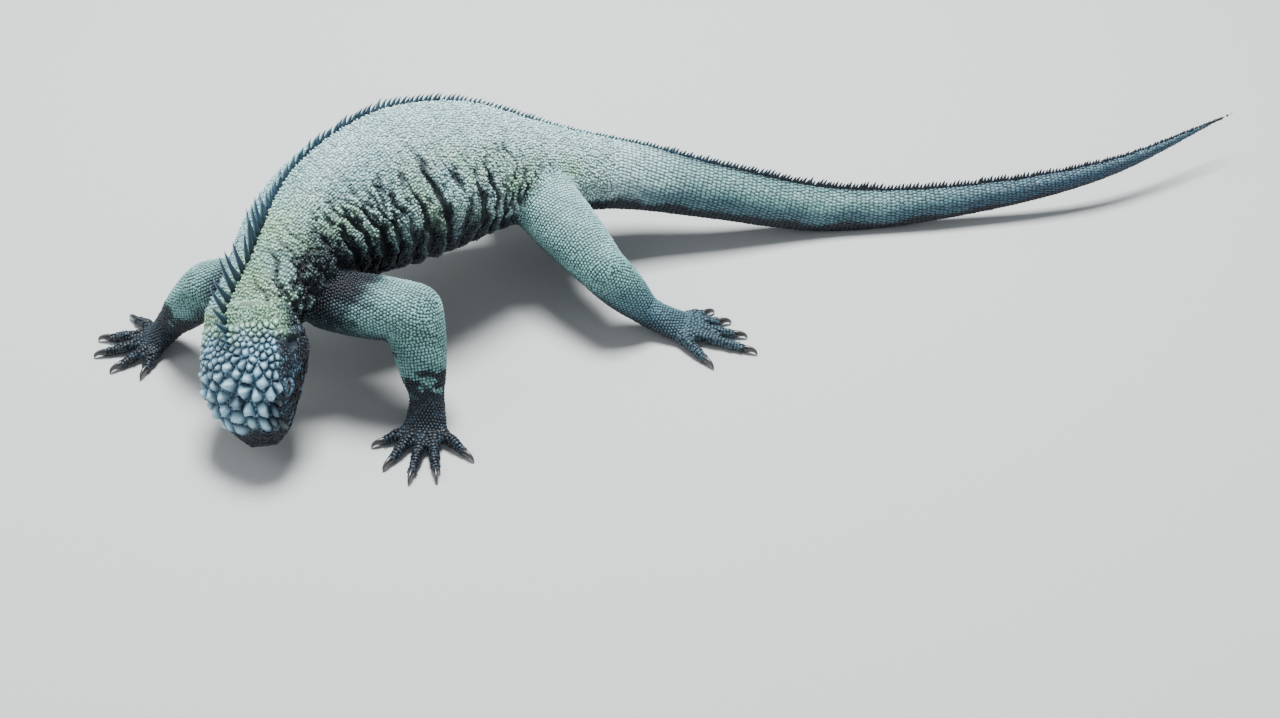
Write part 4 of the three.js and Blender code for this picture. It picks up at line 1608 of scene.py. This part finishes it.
@dataclass
class Crest:
    """The row of spines from the nape to the end of the tail.

    Distances run along the trunk's axis from the neck, in millimetres; leans are in radians.
    """

    bench: Bench
    body: Body
    skin: Skin
    marks: Markings
    coat: Coat
    start: float = 0.012
    stop: float = 0.985
    first_full: Pair = (16, 26)
    back_starts: Pair = (60, 130)
    tail_starts: Pair = (360, 430)
    lean_at_base: float = 0.12
    lean: float = 0.35
    lean_back: float = 0.85
    lean_tail: float = 0.75
    sway: float = 0.13
    sunk: float = 1.2
    flatness: float = 0.62
    widest: float = 3.2
    rings: int = 6

    def build(self) -> None:
        """Sets curved blades close together along the back."""
        rng = np.random.default_rng(9)
        trunk = self.body.trunk
        shares, lengths = self._sites(rng)
        rings = tuple((1 - 0.86 * (k / self.rings) ** 1.25, k / self.rings) for k in range(self.rings))
        form = Scale(8, rings, (0.0, 1.0), corner_ahead=True)
        places = self._blades(rng, form, shares, lengths)
        tint = self._tint(form, shares * trunk.axis.length)
        chart = trunk.chart(shares, np.zeros(len(shares)))
        piece = self.coat.mesh("crest_spines", places, form, tint, chart)
        self.bench.hand_over(piece, "scale", "skin")

    def _sites(self, rng: np.random.Generator) -> tuple[np.ndarray, np.ndarray]:
        """Where the spines stand, and how long they are.

        Args:
            rng: The source of chance.

        Returns:
            The spines' shares of the trunk's length, and their lengths.
        """
        trunk = self.body.trunk
        shares, lengths = [], []
        share = self.start
        while share < self.stop:
            base = float(trunk.size["spine"](np.array(share)))
            base *= 1 - 0.75 * float(1 - step(share * trunk.axis.length, *self.first_full))
            shares.append(share)
            lengths.append(base * rng.uniform(0.72, 1.06))
            share += (2.2 + 0.12 * base) * rng.uniform(0.9, 1.1) / trunk.axis.length
        return np.array(shares), np.array(lengths)

    def _blades(
        self, rng: np.random.Generator, form: Scale, shares: np.ndarray, lengths: np.ndarray
    ) -> np.ndarray:
        """Stands the blades on the skin and bends them back.

        Args:
            rng: The source of chance.
            form: One straight blade.
            shares: Where the spines stand along the trunk.
            lengths: How long they are.

        Returns:
            The places of each blade's vertices.
        """
        trunk = self.body.trunk
        _, forward, dorsal, left = trunk.frames(shares)
        sites = trunk.place(shares, np.zeros(len(shares)))
        feet = np.array([self.skin.tree.find_nearest(Vector(p))[0] for p in sites]) - dorsal * self.sunk
        sway = rng.normal(0, self.sway, len(shares))[:, None]
        rise = form.points[:, 2]
        steps = np.linspace(0, 1, 41)
        travel = shares * trunk.axis.length
        lean = self.lean + self.lean_back * step(travel, *self.back_starts)
        lean = lean - self.lean_tail * step(travel, *self.tail_starts)
        lean = self.lean_at_base + lean[:, None] * steps[None]
        bend = -np.array([np.interp(rise, steps, x) for x in np.cumsum(np.sin(lean), 1) / len(steps)])
        climb = np.array([np.interp(rise, steps, x) for x in np.cumsum(np.cos(lean), 1) / len(steps)])
        girth = np.minimum(1.45 + 0.1 * lengths, self.widest)[:, None]
        tall = lengths[:, None]
        ahead = form.points[None, :, 0] * girth * (1 - 0.1 * rise) + bend * tall
        aside = form.points[None, :, 1] * girth * self.flatness + sway * rise[None] * tall
        upward = climb * (tall + self.sunk)
        ways = np.stack([forward, left, dorsal], 1)
        return feet[:, None] + np.stack([ahead, aside, upward], -1) @ ways

    def _tint(self, form: Scale, travel: np.ndarray) -> np.ndarray:
        """The spines' colours: dark, with pale edges that fade out on the tail, and painted shade towards
        their roots.

        Args:
            form: One blade.
            travel: Where each spine stands.

        Returns:
            A colour for each vertex of each spine.
        """
        inks, blend = self.marks.inks, self.marks.blend
        dark = blend(inks.slate * 0.55, inks.ink, step(travel, 430, 600))
        dark = blend(dark, inks.moss, 0.5 * bell(travel, 360, 50))
        pale = blend(inks.steel, inks.mint, step(travel, 60, 160))
        pale = blend(pale, inks.slate, step(travel, 400, 540))
        rise = form.points[:, 2]
        wide = np.abs(form.points[:, 0]) / np.maximum(np.hypot(form.points[:, 0], form.points[:, 1]), 1e-6)
        edge = 0.6 * step(wide, 0.8, 1.0) * step(rise, 0.1, 0.4) + 0.2 * step(rise, 0.7, 1.0)
        edge = edge[None, :, None]
        tint = dark[:, None] * (1 - edge) + pale[:, None] * edge
        # Painted shade towards each spine's root.
        return tint * (0.45 + 0.55 * step(rise, 0.0, 0.35))[None, :, None]


@dataclass
class Crown:
    """The head's raised scales: pointed ones on the crown, flat ones on its sides and lips.

    Across and along are distances on the flattened crown from its middle and its rear, in millimetres.
    """

    bench: Bench
    body: Body
    skin: Skin
    marks: Markings
    coat: Coat
    tries: int = 14000
    across: float = 46
    along: Pair = (-4, 70)
    smallest: float = 2.1
    growth: float = 2.7
    growing: Pair = (8, 46)
    edge: float = 41
    forehead: Pair = (40, 78)
    snout: Pair = (54, 70)
    height: float = 0.95
    blunt_tip: float = 1.08
    mouth_span: Pair = (23, 85)
    lip_span: Pair = (25.0, 83.5)
    lip_step: float = 3.7
    lip_gap: float = 2.7
    eye_room: Pair = (7.2, 4.4)
    drum_room: Pair = (4.6, 3.8)

    def build(self) -> None:
        """Lays the crown, the lips, the cheeks, the chin and the lids."""
        skull = self.body.skull
        self._plates()
        self._openings()
        self._labials()
        pebble = Scale(6, ((1.0, -0.3), (0.8, 0.5)), (0.1, 0.85))
        cheeks = self.coat.rows(skull, (0.03, 0.97), lambda s: 3.0, lambda s: 2.0, 0.4)
        self.coat.lay("face_scales", skull, cheeks, Laying(pebble, 0.42, 0.55, 0.45, "face"))
        for lid in self.body.lids:
            sites = self.coat.rows(lid, (0.1, 0.9), lambda s: 1.9, lambda s: 1.7)
            self.coat.lay(f"{lid.name}_scales", lid, sites, Laying(pebble, 0.35, slot="face"))

    def _openings(self) -> None:
        """Keeps the eyes, the ear drums, the nostrils and the line of the mouth clear of scales."""
        skull = self.body.skull
        for side in (1, -1):
            self._clear(side * 35, skull.eye[1:], self.eye_room)
            self._clear(side * 39, skull.drum, self.drum_room)
            self.coat.block(skull.world(np.array(skull.nostril, float) * [side, 1, 1]), 1.7)
            for y in np.arange(*self.mouth_span, 1.0):
                z = skull.mouth(np.array(y))
                spot = skull.at(np.array(y), side * skull.angle_at(np.array(y), z))
                self.coat.block(skull.world(spot * [0.97, 1, 1]), 0.9)

    def _clear(self, x: float, middle: Pair, room: Pair) -> None:
        """Keeps an oval on one side of the head clear of scales.

        Args:
            x: How far out the oval lies.
            middle: Its middle, along the head and up.
            room: Its half length and half height.
        """
        for dy in np.arange(-room[0], room[0] + 0.1, 1.1):
            for dz in np.arange(-room[1], room[1] + 0.1, 1.1):
                if (dy / room[0]) ** 2 + (dz / room[1]) ** 2 < 1:
                    spot = np.array([x, middle[0] + dy, middle[1] + dz])
                    self.coat.block(self.body.skull.world(spot), 2.0)

    def _labials(self) -> None:
        """Lays the plates along the lips, an upper and a lower one at each step."""
        skull = self.body.skull
        plate = Scale(6, ((1.0, -0.35), (0.88, 0.5)), (0.1, 0.85))
        y = np.repeat(np.arange(*self.lip_span, self.lip_step), 2)
        y = y + np.tile([0, 1.8], len(y) // 2)
        z = skull.mouth(y) + np.tile([self.lip_gap, -self.lip_gap], len(y) // 2)
        angle = skull.angle_at(y, z)
        for side, name in ((1, "right"), (-1, "left")):
            sites = (skull.share(y), side * angle, np.full(len(y), 4.0), np.full(len(y), 3.4))
            self.coat.lay(f"lip_plates_{name}", skull, sites, Laying(plate, 0.3, slot="face"))

    def _seeds(self) -> np.ndarray:
        """Picks the middles of the crown's plates, each clear of the others.

        Returns:
            For each plate, where it lies across and along the crown, and its radius.
        """
        rng = np.random.default_rng(21)
        kept = np.empty((0, 3))
        for _ in range(self.tries):
            u, v = rng.uniform(-self.across, self.across), rng.uniform(*self.along)
            large = float(step(v, *self.growing)) * (1 - 0.35 * float(step(v, 58, 70)))
            large *= 1 - 0.55 * float(step(abs(u), 24, 42))
            size = (self.smallest + self.growth * large) * rng.uniform(0.85, 1.15)
            if len(kept) and (np.hypot(kept[:, 0] - u, kept[:, 1] - v) < 0.88 * (kept[:, 2] + size)).any():
                continue
            kept = np.vstack([kept, [u, v, size]])
        return kept

    def _plates(self) -> None:
        """Lays the crown's plates: each fills its cell between its neighbours and rises to a blunt point."""
        skull = self.body.skull
        seeds = self._seeds()
        rng = np.random.default_rng(22)
        form = Scale(12, ((1.0, -0.2), (0.95, 0.1), (0.7, 0.46), (0.36, 0.84)), (0.0, self.blunt_tip))
        turn = np.arctan2(form.points[:, 1], form.points[:, 0])
        out = np.hypot(form.points[:, 0], form.points[:, 1])
        rise = form.points[:, 2]
        flat, lift, colours = [], [], []
        for i, (u, v, size) in enumerate(seeds):
            reach = self._reach(seeds, i, turn)
            limit = self.edge - 9 * float(step(v, *self.forehead)) + 2 * math.sin(v * 0.4)
            if abs(u) > limit or reach.min() < 0.7:
                continue
            tall = size * (self.height + 0.25 * float(step(size, 2.4, 4.6))) * rng.uniform(0.75, 1.2)
            tall *= 1 - 0.45 * float(step(v, *self.snout))
            reach = reach * (1 + rng.normal(0, 0.05, len(reach)))
            ahead = v + np.sin(turn) * out * reach + 0.16 * size * rise
            flat.append(np.stack([u + np.cos(turn) * out * reach, ahead], -1))
            lift.append(tall * rise * (1 + rng.normal(0, 0.12, len(reach))))
            colours.append(rng.uniform(0.86, 1.12))
        flat, lift = np.array(flat), np.array(lift)
        y, angle = flat[..., 1], self._angle(flat[..., 0], flat[..., 1])
        places = self._raised(y, angle, lift)
        middle = places.mean(1)
        tint = self._tint(rise, self.marks.head_colour(middle) * np.array(colours)[:, None])
        chart = skull.chart(skull.share(y.mean(1)), angle.mean(1))
        for spot, size in zip(middle, flat[..., 0].std(1)):
            self.coat.block(spot, size * 1.2)
        piece = self.coat.mesh("crown_plates", places, form, tint, chart)
        self.bench.hand_over(piece, "face_scale", "face")

    def _reach(self, seeds: np.ndarray, i: int, turn: np.ndarray) -> np.ndarray:
        """How far a plate reaches each way before it meets its neighbours.

        Args:
            seeds: All the plates.
            i: The plate's number.
            turn: The directions from its middle.

        Returns:
            A distance for each direction.
        """
        size = seeds[i, 2]
        away = np.delete(seeds, i, 0) - [*seeds[i, :2], 0]
        gap = np.hypot(away[:, 0], away[:, 1])
        near = gap < 26
        away, gap = away[near], gap[near]
        line = (gap**2 + size**2 - away[:, 2] ** 2) / (2 * gap)
        facing = np.cos(turn[:, None] - np.arctan2(away[:, 1], away[:, 0])[None])
        reach = np.where(facing > 0.05, line[None] / np.maximum(facing, 0.05), 1e3).min(1)
        return np.minimum(reach, size * 1.7) * 0.98

    def _raised(self, y: np.ndarray, angle: np.ndarray, lift: np.ndarray) -> np.ndarray:
        """The places of the plates' vertices above the head's surface.

        Args:
            y: Their distances from the head's rear.
            angle: Their angles round the head.
            lift: Their heights over its surface.

        Returns:
            Places of the body's frame, in millimetres.
        """
        skull = self.body.skull
        places = skull.at(y, angle)
        sideways = skull.at(y, angle + 0.02) - places
        ahead = skull.at(y + 0.5, angle) - places
        normal = unit(np.cross(ahead, sideways))
        normal = normal * np.sign((normal * (places - [0, 20, -12])).sum(-1, keepdims=True))
        steady = unit(0.35 * normal + 0.65 * normal.mean(1, keepdims=True))
        return skull.world(places + steady * (lift[..., None] - 0.4))

    def _tint(self, rise: np.ndarray, base: np.ndarray) -> np.ndarray:
        """The plates' colours: painted shade where they meet, and a near white painted highlight at their
        tips.

        Args:
            rise: The height of each vertex of the form.
            base: Each plate's own colour.

        Returns:
            A colour for each vertex of each plate.
        """
        rise = np.clip(rise, 0, 1)
        # Painted shade at each plate's base.
        shade = 0.1 + 1.15 * rise**1.05
        light = np.clip(base.mean(1) * 4, 0, 1)[:, None, None]
        # Painted highlight, near white, on each plate's tip.
        pale = (0.5 * step(rise, 0.55, 1.0))[None, :, None] * light
        return base[:, None] * shade[None, :, None] * (1 - pale) + self.marks.inks.white * pale

    def _angle(self, u: np.ndarray, y: np.ndarray) -> np.ndarray:
        """The angle at a distance round the head from the middle of the crown."""
        skull = self.body.skull
        return u / (0.5 * (skull.profile["wide"](y) + skull.profile["high"](y)) + 2)


@dataclass
class Extremities:
    """Claws, lids and eyes, each a piece of its own.

    The pupil and the iris end at angles from the middle of the eye, in degrees.
    """

    bench: Bench
    body: Body
    inks: Palette
    horn_root: Shade = (0.012, 0.014, 0.016)
    horn_gain: Shade = (0.035, 0.036, 0.034)
    horn_fade: Pair = (2, 9)
    lid_grain: float = 2.6
    pupil_end: float = 17
    iris_end: float = 44
    pupil: Shade = (0.003, 0.003, 0.003)
    iris: Shade = (0.055, 0.033, 0.02)
    white_of_eye: Shade = (0.012, 0.010, 0.009)
    cornea: float = 0.05

    def build(self) -> None:
        """Makes the claws, the lids and the eyes, and sets them in place of their solids."""
        for name, horn in self.body.claws:
            self._claw(name, horn)
        for lid in self.body.lids:
            piece = self.bench.rolled(lid)
            shade_smooth(piece)
            places = self.bench.design(coordinates(piece))
            fine = step(ripple(places, self.lid_grain, 61), 0.1, 0.9)[:, None]
            self.bench.tone(piece, self.inks.lid_dark * (1 - fine) + self.inks.lid_pale * fine)
            self.bench.hand_over(piece, "hide", "face")
        for side, name in ((1, "right"), (-1, "left")):
            self._eye(f"eye_{name}", side)

    def _claw(self, name: str, horn: Stalk) -> None:
        """Makes one claw, dark at its root and paler towards its tip.

        Args:
            name: The digit's name.
            horn: The claw's surface.
        """
        piece = self.bench.rolled(horn)
        places = coordinates(piece)
        places[:, 2] = np.maximum(places[:, 2], 0.0002)
        set_coordinates(piece, places)
        shade_smooth(piece)
        root = self.bench.row(horn.curve.at(np.array(0.0)))
        tip = step(np.linalg.norm(places - root, axis=1) / MM, *self.horn_fade)
        self.bench.tone(piece, np.array(self.horn_root) + tip[:, None] * np.array(self.horn_gain))
        self.bench.hand_over(piece, "horn", "claw", f"claw_{name}")

    def _eye(self, node: str, side: int) -> None:
        """Makes one eyeball, with an iris round a dark pupil.

        Args:
            node: The solid that it stands for.
            side: 1 for the animal's right and -1 for its left.
        """
        skull = self.body.skull
        self.bench.deselect()
        bpy.ops.mesh.primitive_uv_sphere_add(segments=48, ring_count=32, radius=1)
        piece = bpy.context.object
        piece.name = f"iguana_{node}"
        ball = coordinates(piece)
        local = np.stack([ball[:, 2] * side, ball[:, 1], ball[:, 0] * side], -1)
        bulge = 1 + self.cornea * step(ball[:, 2], 0.6, 1.0)
        centre = np.array(skull.eye, float) * [side, 1, 1]
        places = skull.world(centre + local * skull.eye_radius * bulge[:, None])
        set_coordinates(piece, self.bench.row(places))
        shade_smooth(piece)
        away = np.degrees(np.arccos(np.clip(ball[:, 2], -1, 1)))[:, None]
        shade = np.where(away < self.pupil_end, np.array(self.pupil), np.array(self.iris))
        shade = np.where(away > self.iris_end, np.array(self.white_of_eye), shade)
        self.bench.tone(piece, shade)
        self.bench.hand_over(piece, "eye", "eye", node)


FINISHES = {
    "hide": Finish("iguana hide", 0.72, 900, 0.25, 0.2),
    "scale": Finish("iguana scale", 0.5, 1100, 0.4, 0.2),
    "face_scale": Finish("iguana face scale", 0.5, 900, 0.55, 0.3),
    "horn": Finish("iguana claw horn", 0.32, 1600, 0.1, 0.2, 0.3),
    "eye": Finish("iguana wet eye", 0.12, 1200, 0.0, 0.25, 1.0),
}


@dataclass
class Dressing:
    """All that lies on the hide: the face, the scales of each part, and the crest."""

    bench: Bench
    body: Body
    skin: Skin
    marks: Markings
    trunk_parts: tuple[tuple[str, Pair], ...] = (
        ("nape", (0.03, 0.07)),
        ("neck", (0.07, 0.135)),
        ("chest", (0.135, 0.21)),
        ("abdomen", (0.21, 0.3)),
        ("pelvis", (0.3, 0.4)),
    )
    tail_parts: tuple[tuple[str, Pair], ...] = (("tail_base", (0.4, 0.6)), ("tail_end", (0.6, 0.992)))

    def build(self) -> None:
        """Lays the head first, then the digits, feet, limbs, trunk and tail, and last the crest."""
        coat = Coat(self.bench, self.skin, self.marks)
        kit = (self.bench, self.body, self.skin, self.marks, coat)
        granule = Scale(6, ((1.0, -0.4), (0.7, 0.6)), (0.2, 1.0))
        bead = Scale(6, ((1.0, -0.35), (0.72, 0.6)), (0.2, 1.0))
        plate = Scale(6, ((1.0, -0.35), (0.9, 0.45)), (0.5, 0.9))
        Crown(*kit).build()
        for digit in self.body.digits:
            sites = coat.rows(digit, (0.08, 0.97), lambda s: 2.9, lambda s: 4.0)
            coat.lay(f"{digit.name}_scales", digit, sites, Laying(plate, 0.22, 0.4))
        for foot in self.body.feet:
            sites = coat.rows(foot, (0.3, 0.99), lambda s: 2.8, lambda s: 2.7)
            coat.lay(f"{foot.name}_scales", foot, sites, Laying(bead, 0.32))
        for limb in self.body.limbs:
            sites = coat.rows(limb, (0.05, 0.97), lambda s: 2.75, lambda s: 2.65)
            coat.lay(f"{limb.name}_scales", limb, sites, Laying(bead, 0.44, 0.55))
        trunk = self.body.trunk
        for name, span in self.trunk_parts:
            sites = coat.rows(trunk, span, lambda s: 2.6, lambda s: 2.3, 0.3)
            coat.lay(f"{name}_scales", trunk, sites, Laying(granule, 0.5, 0.5, 0.5))
        for name, span in self.tail_parts:
            sites = coat.rows(trunk, span, self._tail_length, self._tail_width)
            coat.lay(f"{name}_scales", trunk, sites, Laying(plate, 0.3, 0.5, 0.25))
        Crest(*kit).build()

    def _tail_length(self, share: float) -> float:
        """The length of the tail's plates at a share of the trunk."""
        return 4.2 - 1.6 * float(step(share, 0.7, 1))

    def _tail_width(self, share: float) -> float:
        """The width of the tail's plates at a share of the trunk."""
        return 2.7 - 0.8 * float(step(share, 0.6, 1))


@dataclass
class Studio:
    """Floor, lights and camera; the camera's distance is in millimetres and its angles in degrees."""

    bench: Bench
    distance: float = 1385
    elevation: float = 42
    view: float = 40
    sensor: float = 36
    floor_size: float = 60
    floor_colour: Shade = (0.52, 0.54, 0.54)
    sky_colour: Shade = (0.85, 0.92, 1.0)
    sky_strength: float = 0.32
    lights: tuple[tuple[str, Spot, float, float], ...] = (
        ("key", (-0.15, 0.6, 2.3), 0.8, 155),
        ("fill", (0.6, -2.0, 1.5), 2.2, 9),
        ("side", (-1.9, -0.2, 1.5), 1.4, 14),
    )

    def build(self) -> None:
        """Sets a pale floor, soft lights and the camera at the photo's angle."""
        self.bench.deselect()
        bpy.ops.mesh.primitive_plane_add(size=self.floor_size, location=(0, 0, 0))
        floor = bpy.context.object
        floor.name = "studio_floor"
        pale = bpy.data.materials.new("studio floor")
        pale.use_nodes = True
        shader = pale.node_tree.nodes["Principled BSDF"]
        shader.inputs["Base Color"].default_value = (*self.floor_colour, 1)
        shader.inputs["Roughness"].default_value = 0.9
        floor.data.materials.append(pale)
        for light in self.lights:
            self._light(*light)
        world = bpy.data.worlds.new("studio")
        world.use_nodes = True
        sky = world.node_tree.nodes["Background"]
        sky.inputs["Color"].default_value = (*self.sky_colour, 1)
        sky.inputs["Strength"].default_value = self.sky_strength
        bpy.context.scene.world = world
        self._camera()

    def _camera(self) -> None:
        """Sets the camera so that the middle of its view is the point that the design is measured from."""
        tilt = math.radians(self.elevation)
        back = np.array([0, -math.cos(tilt), math.sin(tilt)]) * self.distance
        lens = bpy.data.cameras.new("camera")
        lens.sensor_width = self.sensor
        lens.lens = self.sensor / 2 / math.tan(math.radians(self.view / 2))
        camera = bpy.data.objects.new("camera", lens)
        camera.location = self.bench.row(back)
        camera.rotation_euler = (math.pi / 2 - tilt, 0, 0)
        bpy.context.scene.collection.objects.link(camera)
        bpy.context.scene.camera = camera

    def _light(self, name: str, place: Spot, size: float, power: float) -> None:
        """Hangs a soft square light that faces the animal.

        Args:
            name: The light's name.
            place: Where it hangs, in metres.
            size: Its side, in metres.
            power: Its power, in watts.
        """
        data = bpy.data.lights.new(name, "AREA")
        data.size = size
        data.energy = power
        lamp = bpy.data.objects.new(name, data)
        lamp.location = place
        lamp.rotation_euler = (Vector((0, 0, 0.05)) - Vector(place)).to_track_quat("-Z", "Y").to_euler()
        bpy.context.scene.collection.objects.link(lamp)


def design_offset(skull: Skull) -> np.ndarray:
    """Where the design's own origin lies on the frame's floor, from the place of the right eye.

    Args:
        skull: The head as it was designed.

    Returns:
        The offset from design places to places of the frame, in metres.
    """
    low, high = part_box("eye_right")
    eye = skull.world(np.array(skull.eye, float)) * MM
    offset = (np.array(low) + np.array(high)) / 2 - eye
    return np.array([offset[0], offset[1], 0.0])


def main() -> None:
    logging.basicConfig(level=logging.INFO, format="%(message)s")
    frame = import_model()
    LOG.info("frame: %d nodes", len(frame["nodes"]))
    body = Body()
    bench = Bench(design_offset(body.skull))
    for key, finish in FINISHES.items():
        bench.finishes[key] = finish.material()
    marks = Markings(body, Folds(body.trunk))
    skin = Skin(bench, body, marks)
    bench.hand_over(skin.build(), "hide", "skin", *FLESH)
    Extremities(bench, body, marks.inks).build()
    Dressing(bench, body, skin, marks).build()
    Studio(bench).build()


if __name__ == "__main__":
    main()
